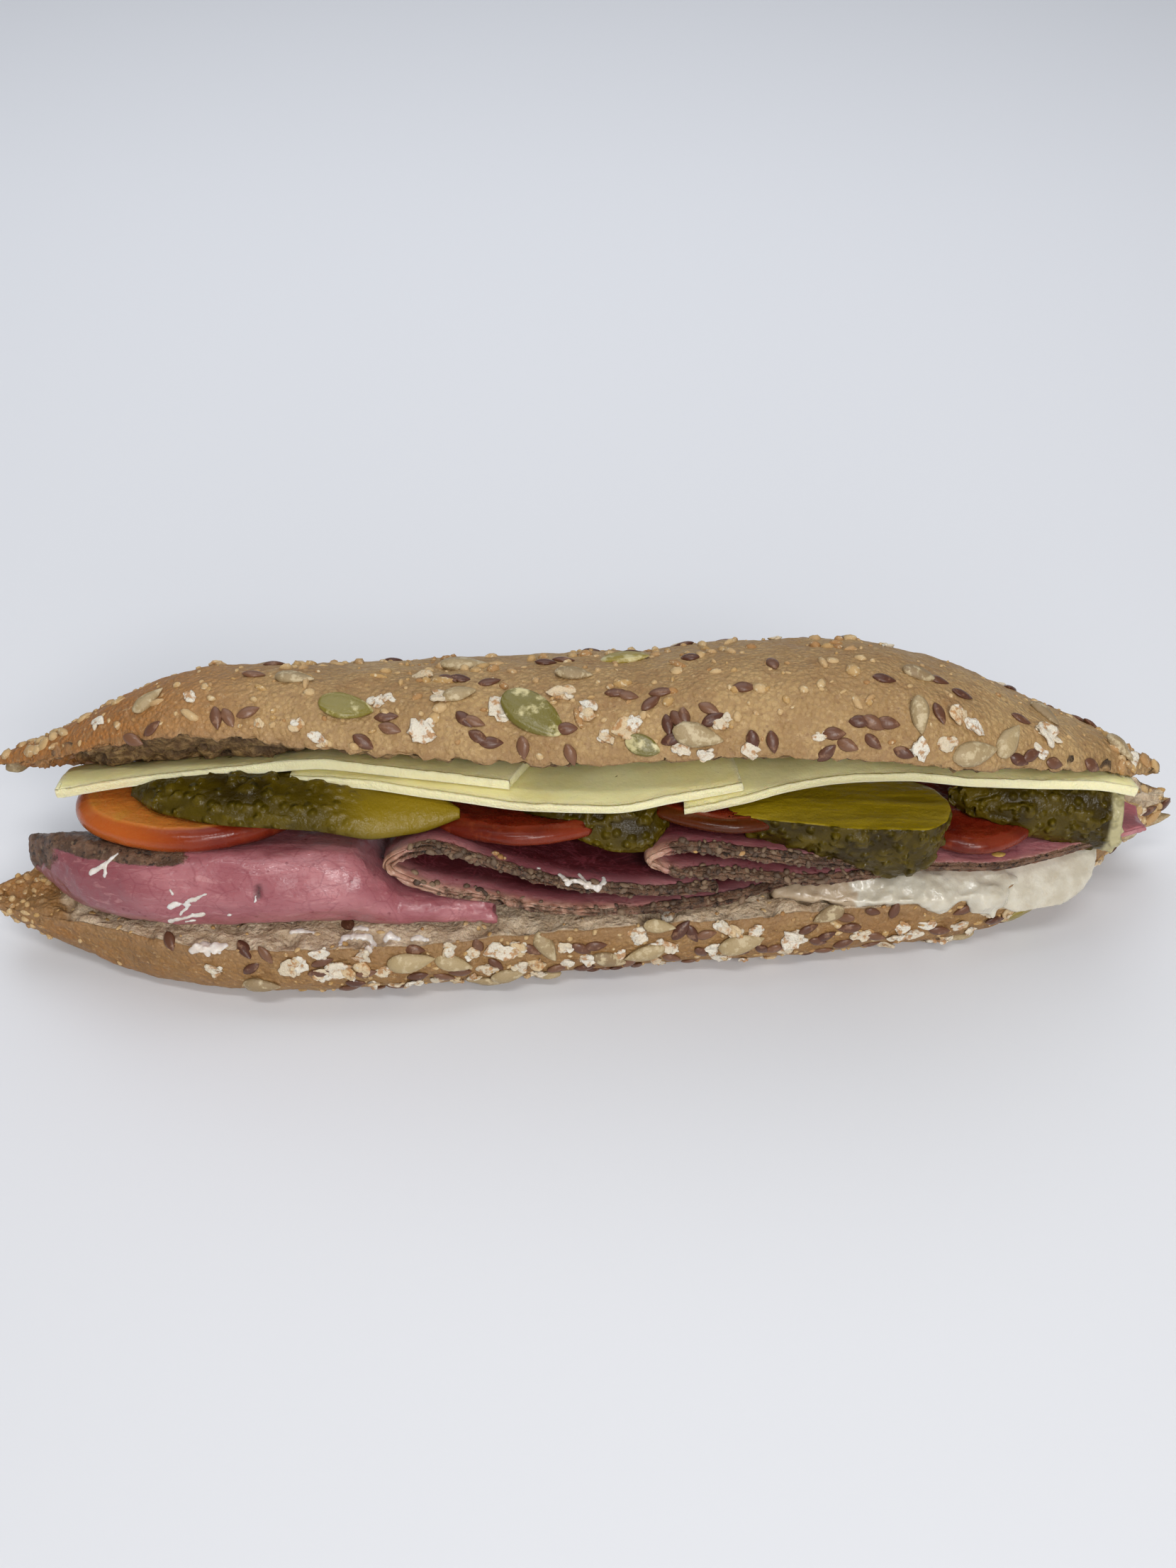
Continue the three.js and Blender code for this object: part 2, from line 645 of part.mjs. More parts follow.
let lower = toManifold(halfRoll(-138, 141, bottomCrust, lowerCrumb, 40, 12, 6));
const lowerSeeds = scatter(
  bottomCrust,
  11,
  [["sunflower", 8], ["oat", 13], ["linseed", 13]],
  (x, turn) => {
    const side = turn < 0.5 ? turn : 1 - turn;
    if (side < 0.015 || side > 0.2) return 0;
    return (x > -62 ? 1 : 0.1) * (turn < 0.5 ? 1 : 0.5);
  },
  [["pumpkin", 98, 0.2, 0.4]],
);
for (const seed of lowerSeeds) lower = lower.add(seed);

let upper = toManifold(halfRoll(-136, 132, topCrust, upperCrumb, 40, 12, 6));
const upperSeeds = scatter(
  topCrust,
  23,
  [["sunflower", 10], ["oat", 9], ["linseed", 20]],
  (x, turn) => (turn < 0.07 || turn > 0.93 ? 0 : turn < 0.5 ? 1 : 0.4),
  [
    ["pumpkin", -57, 0.2, 0.2],
    ["pumpkin", -12, 0.2, -0.5],
    ["pumpkin", 8, 0.4, 0],
    ["pumpkin", 12, 0.08, 0.3],
  ],
);
for (const seed of upperSeeds) upper = upper.add(seed);

// The underside is cut flat where it rests on the table.
const table = new THREE.BoxGeometry(400, 200, 60).translate(0, 0, -30);
lower = lower.subtract(toManifold(table));
for (const other of grown) {
  lower = lower.subtract(other);
  upper = upper.subtract(other);
}

let dressing = toManifold(bedOf()).add(toManifold(tongueOf()));
for (const [x, y, z, size] of DRIPS) {
  const drip = new THREE.SphereGeometry(size, 7, 4).scale(1.8, 1, 1.3).translate(x, y, z);
  dressing = dressing.add(toManifold(drip));
}
for (const other of grown) dressing = dressing.subtract(other);
lower = lower.subtract(dressing);

addNode("bread_bottom", lower);
addNode("bread_top", upper);
addNode("mayonnaise", dressing);

export default group;
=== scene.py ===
# A long seeded roll, cut and filled with sliced roast beef, tomato, gherkin, cheese and a white dressing.
# Shapes are worked out in millimetres in the frame of the solids: X along the roll, Y to its back, Z up.
import math

import bmesh
import bpy
import numpy as np
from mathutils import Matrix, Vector
from mathutils.bvhtree import BVHTree


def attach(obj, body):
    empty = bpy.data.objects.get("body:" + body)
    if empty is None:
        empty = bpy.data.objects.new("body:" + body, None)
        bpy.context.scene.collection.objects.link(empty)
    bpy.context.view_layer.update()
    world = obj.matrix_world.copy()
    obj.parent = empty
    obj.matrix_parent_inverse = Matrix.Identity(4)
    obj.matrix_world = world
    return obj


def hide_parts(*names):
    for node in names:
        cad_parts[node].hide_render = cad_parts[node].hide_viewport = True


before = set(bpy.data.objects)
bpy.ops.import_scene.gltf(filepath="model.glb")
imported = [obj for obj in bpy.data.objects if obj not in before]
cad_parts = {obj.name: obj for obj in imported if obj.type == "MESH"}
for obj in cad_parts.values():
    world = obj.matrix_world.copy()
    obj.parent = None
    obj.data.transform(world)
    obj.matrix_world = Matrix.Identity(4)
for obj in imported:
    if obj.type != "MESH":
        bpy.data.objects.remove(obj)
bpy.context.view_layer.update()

# Driving dimensions
MM = 0.001  # a millimetre in metres
BEEF = 2.2  # thickness of a slice of beef
CHEESE = 2.7  # thickness of a slice of cheese
LAYERS = 4.4  # least distance between the middles of two layers of a folded slice
OFF_FLOOR = 0.15  # least height of a seed over the table
CLEAR = 0.25  # least gap between the torn bread and a filling
FINE_GRAIN = 0.2  # size of the cells in which the smears are melted together
DRESSING_GRAIN = 0.55  # and the dressing
FLOOR_AT = -0.3  # height of the floor, just below the part so that the two don't flicker

# How finely the pieces are divided
RINGS = 264
CRUST_STEPS = 110
FACE_STEPS = 56
TOMATO_STEPS = 120
GHERKIN_RINGS = 151
SKIN_STEPS = 81
FLESH_STEPS = 31

# Camera
TARGET = np.array((0.0, 0.0, 35.0))
ELEVATION = math.radians(42)
DISTANCE = 352.6
PICTURE = (1659, 2212)
LENS = 35.0
SENSOR = 36.0
# The way that the camera looks, and the way that is up in its picture
AHEAD = np.array((0.0, math.cos(ELEVATION), -math.sin(ELEVATION)))
ABOVE = np.array((0.0, math.sin(ELEVATION), math.cos(ELEVATION)))
EYE = TARGET - DISTANCE * AHEAD


# Numbers


def smooth(low, high, x):
    t = np.clip((np.asarray(x, float) - low) / (high - low), 0, 1)
    return t * t * (3 - 2 * t)


def mix(a, b, t):
    return a + (b - a) * t


def soft_min(a, b, r):
    h = np.clip(0.5 + (b - a) / (2 * r), 0, 1)
    return mix(b, a, h) - r * h * (1 - h)


def vec(x, y, z):
    return np.stack(np.broadcast_arrays(x, y, z), axis=-1).astype(float)


def unit(v):
    return v / np.maximum(np.linalg.norm(v, axis=-1, keepdims=True), 1e-12)


def through(*knots):
    """A smooth line through a few (x, value) knots that never overshoots them."""
    xs = np.array([k[0] for k in knots], float)
    ys = np.array([k[1] for k in knots], float)
    slope = np.diff(ys) / np.diff(xs)
    a, b = slope[:-1], slope[1:]
    inner = np.where(a * b <= 0, 0, 2 * a * b / np.where(a + b == 0, 1, a + b))
    tangent = np.concatenate(([slope[0]], inner, [slope[-1]]))

    def value(x):
        at = np.clip(np.asarray(x, float), xs[0], xs[-1])
        i = np.clip(np.searchsorted(xs, at, side="right") - 1, 0, len(xs) - 2)
        width = xs[i + 1] - xs[i]
        t = (at - xs[i]) / width
        t2, t3 = t * t, t * t * t
        return (
            (2 * t3 - 3 * t2 + 1) * ys[i]
            + (t3 - 2 * t2 + t) * width * tangent[i]
            + (3 * t2 - 2 * t3) * ys[i + 1]
            + (t3 - t2) * width * tangent[i + 1]
        )

    return value


def curve_through(points):
    """A curve through points of a plane, by a share from 0 to 1 that is even over the points."""
    p = np.array(points, float)
    p = np.concatenate([[2 * p[0] - p[1]], p, [2 * p[-1] - p[-2]]])
    root = np.linalg.norm(np.diff(p, axis=0), axis=1)[:, None] ** 0.5

    def value(share):
        at = np.asarray(share, float) * (len(p) - 3)
        i = np.clip(np.floor(at).astype(int), 0, len(p) - 4)
        t = (at - i)[..., None]
        a, b, c, d = (p[i + k] for k in range(4))
        r0, r1, r2 = (root[i + k] for k in range(3))
        t1 = ((b - a) / r0 - (c - a) / (r0 + r1) + (c - b) / r1) * r1
        t2 = ((c - b) / r1 - (d - b) / (r1 + r2) + (d - c) / r2) * r1
        return b + t1 * t + (3 * (c - b) - 2 * t1 - t2) * t**2 + (2 * (b - c) + t1 + t2) * t**3

    return value


def lumps(x, y, z):
    """Smooth lumps between -1 and 1, about one unit across."""
    x, y, z = np.broadcast_arrays(x, y, z)
    i, j, k = np.floor(x), np.floor(y), np.floor(z)
    u, v, w = smooth(0, 1, x - i), smooth(0, 1, y - j), smooth(0, 1, z - k)

    def corner(a, b, c):
        s = np.sin((i + a) * 127.1 + (j + b) * 311.7 + (k + c) * 74.7) * 43758.5453
        return 2 * (s - np.floor(s)) - 1

    def edge(b, c):
        return mix(corner(0, b, c), corner(1, b, c), u)

    return mix(mix(edge(0, 0), edge(1, 0), v), mix(edge(0, 1), edge(1, 1), v), w)


def rough(points, size, octaves=3, shift=0.0):
    """Lumps of several sizes over an array of points, the largest of the given size in millimetres."""
    total = 0
    for octave in range(octaves):
        p = points * (2**octave / size) + shift + 17.3 * octave
        total = total + lumps(p[..., 0], p[..., 1], p[..., 2]) / 2**octave
    return total


# Meshes


def quads_of(index):
    return np.stack([index[:-1, :-1], index[1:, :-1], index[1:, 1:], index[:-1, 1:]], axis=-1).reshape(-1, 4)


def normals_of(points, faces):
    a, b, c, d = (points[faces[:, i]] for i in range(4))
    face = np.cross(c - a, d - b)
    total = np.zeros_like(points)
    for i in range(4):
        np.add.at(total, faces[:, i], face)
    return unit(total)


def outward_faces(points, faces):
    """The same faces, turned to look outward. A face is a quad, or a triangle with one corner given twice."""
    a, b, c, d = (points[faces[:, i]] for i in range(4))
    volume = np.einsum("ij,ij->i", a, np.cross(b, c)) + np.einsum("ij,ij->i", a, np.cross(c, d))
    return faces if volume.sum() > 0 else faces[:, ::-1]


def mesh_object(name, points, faces, material, masks, nodes=()):
    """A smooth piece from points in millimetres, riding on the part and standing for the given nodes."""
    rows = [list(dict.fromkeys(face)) for face in faces.tolist()]
    mesh = bpy.data.meshes.new(name)
    mesh.from_pydata((points * MM).tolist(), [], rows)
    mesh.update()
    mesh.polygons.foreach_set("use_smooth", np.ones(len(faces), bool))
    for key, values in masks.items():
        layer = mesh.attributes.new(key, "FLOAT", "POINT")
        layer.data.foreach_set("value", np.asarray(values, np.float32))
    mesh.materials.append(material)
    piece = bpy.data.objects.new(name, mesh)
    bpy.context.scene.collection.objects.link(piece)
    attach(piece, "root")
    if nodes:
        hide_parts(*nodes)
    return piece


def box_grid(nu, nv, nw, crowd):
    """The skin of a box of cells: u and v from 0 to 1 and w from -1 to 1 for each point, and the faces."""
    shape = (nu + 1, nv + 1, nw + 1)
    index = np.arange(np.prod(shape)).reshape(shape)
    sides = [index[:, :, -1], index[:, ::-1, 0], index[-1], index[0, ::-1], index[::-1, 0], index[:, -1]]
    faces = np.concatenate([quads_of(side) for side in sides])
    used, faces = np.unique(faces, return_inverse=True)
    i, j, k = np.unravel_index(used, shape)
    u, v = (s - crowd * np.sin(2 * np.pi * s) / (2 * np.pi) for s in (i / nu, j / nv))
    return u, v, 2 * k / nw - 1, faces.reshape(-1, 4)


def slab(cells, middle, thickness, bulge=0.2, crowd=0.75):
    """A slice round a middle surface: its points, faces, u, v, w and how far each point is from the rim."""
    u, v, w, faces = box_grid(*cells, crowd)
    step = 1e-3
    along = middle(np.minimum(u + step, 1), v) - middle(np.maximum(u - step, 0), v)
    across = middle(u, np.minimum(v + step, 1)) - middle(u, np.maximum(v - step, 0))
    out = unit(np.cross(along, across))
    lines = np.linspace(0, 1, 60)
    long_u = np.linalg.norm(np.diff(middle(lines, 0 * lines + 0.5), axis=0), axis=1).sum()
    long_v = np.linalg.norm(np.diff(middle(0 * lines + 0.5, lines), axis=0), axis=1).sum()
    from_u = np.minimum(u, 1 - u) * long_u
    from_v = np.minimum(v, 1 - v) * long_v
    rim = np.minimum(from_u, from_v)
    half = thickness / 2 * (1 - 1.2 * bulge * np.exp(-((rim / (0.35 * thickness)) ** 2)))
    aside = unit(across) * np.where(v < 0.5, -1, 1)[:, None] * (from_v < 1e-6)[:, None]
    aside = aside + unit(along) * np.where(u < 0.5, -1, 1)[:, None] * (from_u < 1e-6)[:, None]
    points = middle(u, v) + out * (w * half)[:, None] + aside * (bulge * thickness / 2 * (1 - w * w))[:, None]
    return points, outward_faces(points, faces), u, v, w, rim


def loft(rings):
    """A closed body through an array of rings, with a fan of triangles over the first and the last."""
    count, around, _ = rings.shape
    index = np.arange(count * around).reshape(count, around)
    faces = quads_of(np.concatenate([index, index[:, :1]], axis=1))
    points = np.concatenate([rings.reshape(-1, 3), [rings[0].mean(axis=0), rings[-1].mean(axis=0)]])
    wrap = np.roll(index, -1, axis=1)
    tip = np.full(around, count * around)
    start = np.stack([index[0], index[0], wrap[0], tip], axis=-1)
    end = np.stack([tip + 1, wrap[-1], index[-1], index[-1]], axis=-1)
    return points, outward_faces(points, np.concatenate([faces, start, end]))


def shape_of(piece):
    """The points of a piece in millimetres."""
    points = np.empty(len(piece.data.vertices) * 3)
    piece.data.vertices.foreach_get("co", points)
    return points.reshape(-1, 3) / MM


def tree_of(*pieces):
    """A search tree over some pieces, in millimetres."""
    corners, faces = [], []
    for piece in pieces:
        faces.extend([len(corners) + i for i in face.vertices] for face in piece.data.polygons)
        corners.extend(shape_of(piece).tolist())
    return BVHTree.FromPolygons(corners, faces)


def box_of(piece):
    points = shape_of(piece)
    return points.min(axis=0), points.max(axis=0)


def keep_modified(piece):
    """Make what the modifiers of a piece give its own mesh."""
    whole = piece.evaluated_get(bpy.context.evaluated_depsgraph_get())
    mesh = bpy.data.meshes.new_from_object(whole)
    piece.modifiers.clear()
    old = piece.data
    piece.data = mesh
    bpy.data.meshes.remove(old)
    mesh.name = piece.name


def drop_scraps(mesh):
    """Keep the largest connected part of a mesh alone."""
    ends = np.empty(len(mesh.edges) * 2, np.int64)
    mesh.edges.foreach_get("vertices", ends)
    a, b = ends.reshape(-1, 2).T
    label = np.arange(len(mesh.vertices))
    while True:
        lowest = np.minimum(label[a], label[b])
        new = label.copy()
        np.minimum.at(new, a, lowest)
        np.minimum.at(new, b, lowest)
        new = new[new]
        if (new == label).all():
            break
        label = new
    names, counts = np.unique(label, return_counts=True)
    if len(names) == 1:
        return
    work = bmesh.new()
    work.from_mesh(mesh)
    work.verts.ensure_lookup_table()
    loose = np.flatnonzero(label != names[counts.argmax()])
    bmesh.ops.delete(work, geom=[work.verts[i] for i in loose], context="VERTS")
    work.to_mesh(mesh)
    work.free()


def carve(piece, others):
    """Cut the pieces that lie against a piece out of it, and drop the scraps that leaves."""
    low, high = box_of(piece)
    for other in others:
        other_low, other_high = box_of(other)
        if (low < other_high).all() and (other_low < high).all():
            cut = piece.modifiers.new("cut", "BOOLEAN")
            cut.operation = "DIFFERENCE"
            cut.solver = "MANIFOLD"
            cut.object = other
    if piece.modifiers:
        keep_modified(piece)
        drop_scraps(piece.data)


def push_clear(points, chosen, others, direction):
    """Move the chosen points up (1) or down (-1) until they are clear of the pieces that they lie in."""
    far = 200.0 * direction
    for other in others:
        low, high = box_of(other)
        tree = tree_of(other)
        near = chosen & (points > low - CLEAR).all(axis=1) & (points < high + CLEAR).all(axis=1)
        for i in np.flatnonzero(near):
            hit = tree.ray_cast(Vector((points[i, 0], points[i, 1], far)), Vector((0, 0, -direction)))[0]
            if hit is not None and (hit.z - points[i, 2]) * direction + CLEAR > 0:
                points[i, 2] = hit.z + direction * CLEAR


# Materials


class Paint:
    """A material built node by node, with its textures placed in millimetres on the object."""

    def __init__(self, name):
        self.material = bpy.data.materials.new(name)
        self.material.use_nodes = True
        self.tree = self.material.node_tree
        self.tree.nodes.clear()
        where = self.add("ShaderNodeTexCoord").outputs["Object"]
        self.place = self.vector("SCALE", where, 1 / MM)

    def add(self, kind, **settings):
        node = self.tree.nodes.new(kind)
        for key, value in settings.items():
            setattr(node, key, value)
        return node

    def put(self, socket, value):
        if isinstance(value, bpy.types.NodeSocket):
            self.tree.links.new(value, socket)
        elif socket.type == "RGBA":
            socket.default_value = (*value, 1)
        else:
            socket.default_value = value

    def vector(self, operation, a, b):
        node = self.add("ShaderNodeVectorMath", operation=operation)
        self.put(node.inputs[0], a)
        self.put(node.inputs["Scale" if operation == "SCALE" else 1], b)
        return node.outputs[0]

    def stretched(self, stretch):
        return self.place if stretch is None else self.vector("MULTIPLY", self.place, stretch)

    def noise(self, size, detail=3.0, roughness=0.55, stretch=None, warp=0.0):
        node = self.add("ShaderNodeTexNoise")
        self.put(node.inputs["Vector"], self.stretched(stretch))
        self.put(node.inputs["Scale"], 1 / size)
        self.put(node.inputs["Detail"], detail)
        self.put(node.inputs["Roughness"], roughness)
        self.put(node.inputs["Distortion"], warp)
        return node.outputs[0]

    def cells(self, size, feature="F1", stretch=None, jitter=1.0):
        node = self.add("ShaderNodeTexVoronoi", feature=feature)
        self.put(node.inputs["Vector"], self.stretched(stretch))
        self.put(node.inputs["Scale"], 1 / size)
        self.put(node.inputs["Randomness"], jitter)
        return node.outputs["Distance"]

    def step(self, value, low, high, start=0.0, end=1.0):
        node = self.add("ShaderNodeMapRange", interpolation_type="SMOOTHSTEP")
        for i, number in enumerate((value, low, high, start, end)):
            self.put(node.inputs[i], number)
        return node.outputs[0]

    def math(self, operation, a, b):
        node = self.add("ShaderNodeMath", operation=operation)
        self.put(node.inputs[0], a)
        self.put(node.inputs[1], b)
        return node.outputs[0]

    def times(self, a, b):
        return self.math("MULTIPLY", a, b)

    def plus(self, a, b):
        return self.math("ADD", a, b)

    def mask(self, name):
        return self.add("ShaderNodeAttribute", attribute_name=name).outputs["Fac"]

    def axis(self, name):
        node = self.add("ShaderNodeSeparateXYZ")
        self.put(node.inputs[0], self.place)
        return node.outputs[name]

    def mix(self, share, a, b):
        node = self.add("ShaderNodeMix", data_type="RGBA")
        self.put(node.inputs[0], share)
        self.put(node.inputs[6], a)
        self.put(node.inputs[7], b)
        return node.outputs[2]

    def bump(self, height, depth):
        """A bump whose height from 0 to 1 is this many millimetres deep."""
        node = self.add("ShaderNodeBump")
        self.put(node.inputs["Distance"], depth * MM)
        self.put(node.inputs["Height"], height)
        return node.outputs[0]

    def finish(self, colour, roughness, normal, soft=None, coat=None, specular=None):
        """The material. Soft is subsurface weight, radius and scale, and coat is its weight and roughness."""
        settings = {"Base Color": colour, "Roughness": roughness, "Normal": normal}
        if soft:
            settings.update(zip(("Subsurface Weight", "Subsurface Radius", "Subsurface Scale"), soft))
        if coat:
            settings.update({"Coat Weight": coat[0], "Coat Roughness": coat[1], "Coat Normal": normal})
        if specular is not None:
            settings["Specular IOR Level"] = specular
        shader = self.add("ShaderNodeBsdfPrincipled")
        for name, value in settings.items():
            self.put(shader.inputs[name], value)
        self.tree.links.new(shader.outputs[0], self.add("ShaderNodeOutputMaterial").inputs["Surface"])
        return self.material


def crust_paint():
    p = Paint("crust")
    colour = p.mix(p.step(p.noise(16, 3), 0.35, 0.65), (0.36, 0.215, 0.082), (0.46, 0.295, 0.122))
    # Towards the left end the crust is painted redder and darker: partly its own colour, partly painted
    # shade, as less light reaches that end.
    colour = p.mix(p.step(p.axis("X"), -55, -112), colour, (0.37, 0.14, 0.024))
    golden = p.times(p.step(p.axis("Z"), 24, 18), p.step(p.noise(9, 3), 0.3, 0.6, 0.5, 1.0))
    colour = p.mix(golden, colour, (0.29, 0.145, 0.040))
    dark = p.step(p.noise(4.5, 4, 0.65), 0.52, 0.66, 0, 0.6)
    colour = p.mix(p.times(dark, golden), colour, (0.19, 0.085, 0.02))
    browned = p.step(p.noise(7, 4, 0.65), 0.5, 0.72, 0, 0.5)
    colour = p.mix(browned, colour, (0.27, 0.125, 0.04))
    flour = p.step(p.noise(1.3, 4, 0.7), 0.55, 0.68, 0, 0.4)
    colour = p.mix(flour, colour, (0.66, 0.47, 0.25))
    bran = p.step(p.cells(2.1), 0.2, 0.1, 0, 0.5)
    colour = p.mix(bran, colour, (0.20, 0.095, 0.04))
    grain = p.noise(1.9, 4, 0.7)
    colour = p.mix(p.step(grain, 0.45, 0.3, 0, 0.45), colour, (0.25, 0.135, 0.055))
    colour = p.mix(p.times(p.mask("edge"), 0.45), colour, (0.33, 0.19, 0.085))
    pebbles = p.step(p.cells(1.15), 0.75, 0.1)
    colour = p.mix(p.step(pebbles, 0.55, 0.0, 0, 0.4), colour, (0.25, 0.135, 0.05))
    # Painted shade: the crumb is darkened in its pits, most of all on the upper half's torn face.
    hollow = p.mask("pits")
    crumb = p.mix(p.step(p.noise(3.2, 4, 0.6), 0.35, 0.7), (0.52, 0.375, 0.235), (0.76, 0.61, 0.43))
    crumb = p.mix(p.step(p.noise(0.9, 3, 0.7), 0.52, 0.66, 0, 0.5), crumb, (0.30, 0.19, 0.10))
    crumb = p.mix(p.times(hollow, 0.45), crumb, (0.26, 0.155, 0.08))
    # Painted shade: a dark copy of the crumb for the torn face of the upper half, which faces down.
    brown = p.mix(p.step(p.noise(2.2, 4, 0.6), 0.35, 0.7), (0.12, 0.06, 0.019), (0.36, 0.22, 0.088))
    brown = p.mix(p.times(hollow, 0.9), brown, (0.045, 0.022, 0.008))
    # Higher up, on the upper half, the crumb takes its painted shade copy.
    crumb = p.mix(p.step(p.axis("Z"), 27, 31), crumb, brown)
    is_crumb = p.step(p.mask("crumb"), 0.3, 0.7)
    colour = p.mix(is_crumb, colour, crumb)
    torn = p.times(p.times(p.noise(1.5, 5, 0.65), is_crumb), 1.5)
    height = p.plus(p.plus(grain, p.times(pebbles, 0.3)), torn)
    shine = p.step(p.noise(3, 3), 0.3, 0.7, 0.5, 0.72)
    return p.finish(colour, shine, p.bump(height, 0.75), soft=(0.12, (1.0, 0.6, 0.3), 0.0015))


def cheese_paint():
    p = Paint("cheese")
    colour = p.mix(p.step(p.noise(14, 3), 0.35, 0.65), (0.90, 0.81, 0.36), (0.94, 0.87, 0.45))
    colour = p.mix(p.times(p.mask("rim"), 0.75), colour, (0.85, 0.78, 0.50))
    colour = p.mix(p.step(p.cells(2.6), 0.09, 0.03, 0, 0.4), colour, (0.55, 0.42, 0.13))
    height = p.plus(p.noise(2.4, 4, 0.6), p.times(p.noise(0.6, 3, 0.6), p.mask("rim")))
    shine = p.step(p.noise(5, 2), 0.35, 0.65, 0.33, 0.5)
    return p.finish(colour, shine, p.bump(height, 0.22), soft=(0.35, (1.0, 0.75, 0.3), 0.003), specular=0.45)


def beef_paint():
    p = Paint("beef")
    broad = p.noise(11, 3, 0.5, (0.5, 1, 1), 0.4)
    colour = p.mix(p.step(broad, 0.35, 0.68), (0.33, 0.105, 0.118), (0.46, 0.185, 0.195))
    # Painted shade: the beef is darkened towards its left end, where less light reaches it.
    colour = p.mix(p.step(p.axis("X"), -90, -108, 0, 0.85), colour, (0.225, 0.068, 0.078))
    grain = p.noise(1.5, 4, 0.6, (0.22, 1, 1), 0.8)
    colour = p.mix(p.step(grain, 0.55, 0.7, 0, 0.35), colour, (0.58, 0.30, 0.29))
    # Painted shade: the deep mask paints the beef near black inside the folds and behind their fronts.
    colour = p.mix(p.times(p.mask("deep"), 0.93), colour, (0.055, 0.004, 0.006))
    vein = p.step(p.cells(4.2, "DISTANCE_TO_EDGE", (0.8, 1, 1)), 0.06, 0.0, 0, 0.4)
    vein = p.times(vein, p.step(p.noise(7, 4), 0.42, 0.56))
    colour = p.mix(vein, colour, (0.22, 0.045, 0.06))
    # Painted shade: thin dark lines where the meat creases, with no relief of their own.
    crease = p.noise(5, 4, 0.6, (0.5, 1.4, 1), 1.5)
    crease = p.times(p.step(crease, 0.5, 0.53), p.step(crease, 0.56, 0.53, 0, 0.4))
    colour = p.mix(crease, colour, (0.25, 0.06, 0.075))
    pores = p.times(p.step(p.cells(2.6), 0.2, 0.1, 0, 0.75), p.step(p.noise(6), 0.5, 0.6))
    colour = p.mix(pores, colour, (0.18, 0.03, 0.04))
    tallow = p.mix(p.step(p.noise(2.5, 4), 0.4, 0.65), (0.34, 0.19, 0.11), (0.52, 0.33, 0.22))
    colour = p.mix(p.mask("fat"), colour, tallow)
    rim = p.step(p.plus(p.mask("rim"), p.times(p.noise(2.4, 4, 0.65), 0.9)), 0.8, 1.05)
    pepper = p.mix(p.step(p.noise(3.4, 4, 0.6), 0.4, 0.62), (0.10, 0.052, 0.029), (0.20, 0.108, 0.062))
    pepper = p.mix(p.step(p.noise(1.4, 3, 0.7), 0.52, 0.64), pepper, (0.038, 0.022, 0.014))
    pepper = p.mix(p.step(p.cells(2.2), 0.24, 0.14, 0, 0.6), pepper, (0.28, 0.18, 0.10))
    colour = p.mix(rim, colour, pepper)
    meat = p.times(p.math("SUBTRACT", 1, rim), p.times(grain, 0.5))
    wet = p.plus(meat, p.plus(p.noise(3.5, 3, 0.5), p.times(p.noise(0.9, 2), 0.25)))
    height = p.plus(wet, p.times(p.times(p.noise(0.9, 4, 0.7), rim), 2.4))
    shine = p.plus(p.step(p.noise(2.5, 3), 0.35, 0.65, 0.28, 0.44), p.times(rim, 0.3))
    return p.finish(colour, shine, p.bump(height, 0.34), soft=(0.2, (1.0, 0.25, 0.2), 0.0025), specular=0.2,
                    coat=(0.42, 0.07))


def tomato_paint():
    p = Paint("tomato")
    skin = p.mask("skin")
    # Painted light and shade: the first slice is painted light orange towards its left end, where it is lit,
    # and darker further right, in the shade of the gherkin above.
    left = p.step(p.axis("X"), -62, -98)
    # The flesh is painted a dark red: partly its own colour, partly painted shade from the fillings and the
    # roll above the slices.
    flesh = p.mix(p.step(p.noise(6, 3), 0.35, 0.65), (0.12, 0.008, 0.003), (0.19, 0.02, 0.006))
    flesh = p.mix(left, flesh, (0.58, 0.19, 0.03))
    gel = p.step(p.noise(9, 2, 0.5), 0.5, 0.62)
    flesh = p.mix(p.times(p.times(gel, left), 0.5), flesh, (0.50, 0.24, 0.03))
    # The skin is painted dark red too: partly its own colour, partly painted shade.
    rind = p.mix(p.step(p.noise(10, 2), 0.35, 0.65), (0.12, 0.012, 0.004), (0.20, 0.028, 0.009))
    rind = p.mix(p.step(p.noise(2.6, 4, 0.6, (1, 1, 0.6)), 0.5, 0.7, 0, 0.35), rind, (0.30, 0.06, 0.018))
    shaded = p.times(p.step(p.axis("X"), 8, 12), p.step(p.axis("X"), 60, 55))
    rind = p.mix(p.times(shaded, 0.85), rind, (0.06, 0.014, 0.001))
    # Painted shade: the skin of the first slice darkens from its left end towards the right.
    rind = p.mix(left, rind, p.mix(p.step(p.axis("X"), -78, -104), (0.19, 0.013, 0.002), (0.45, 0.10, 0.014)))
    colour = p.mix(skin, flesh, rind)
    height = p.times(p.noise(1.4, 4, 0.6), p.step(skin, 0.0, 1.0, 1.0, 0.25))
    return p.finish(colour, p.step(p.noise(3), 0.3, 0.7, 0.2, 0.36), p.bump(height, 0.3),
                    soft=(0.25, (1.0, 0.25, 0.08), 0.003),
                    specular=0.2, coat=(0.16, 0.1))


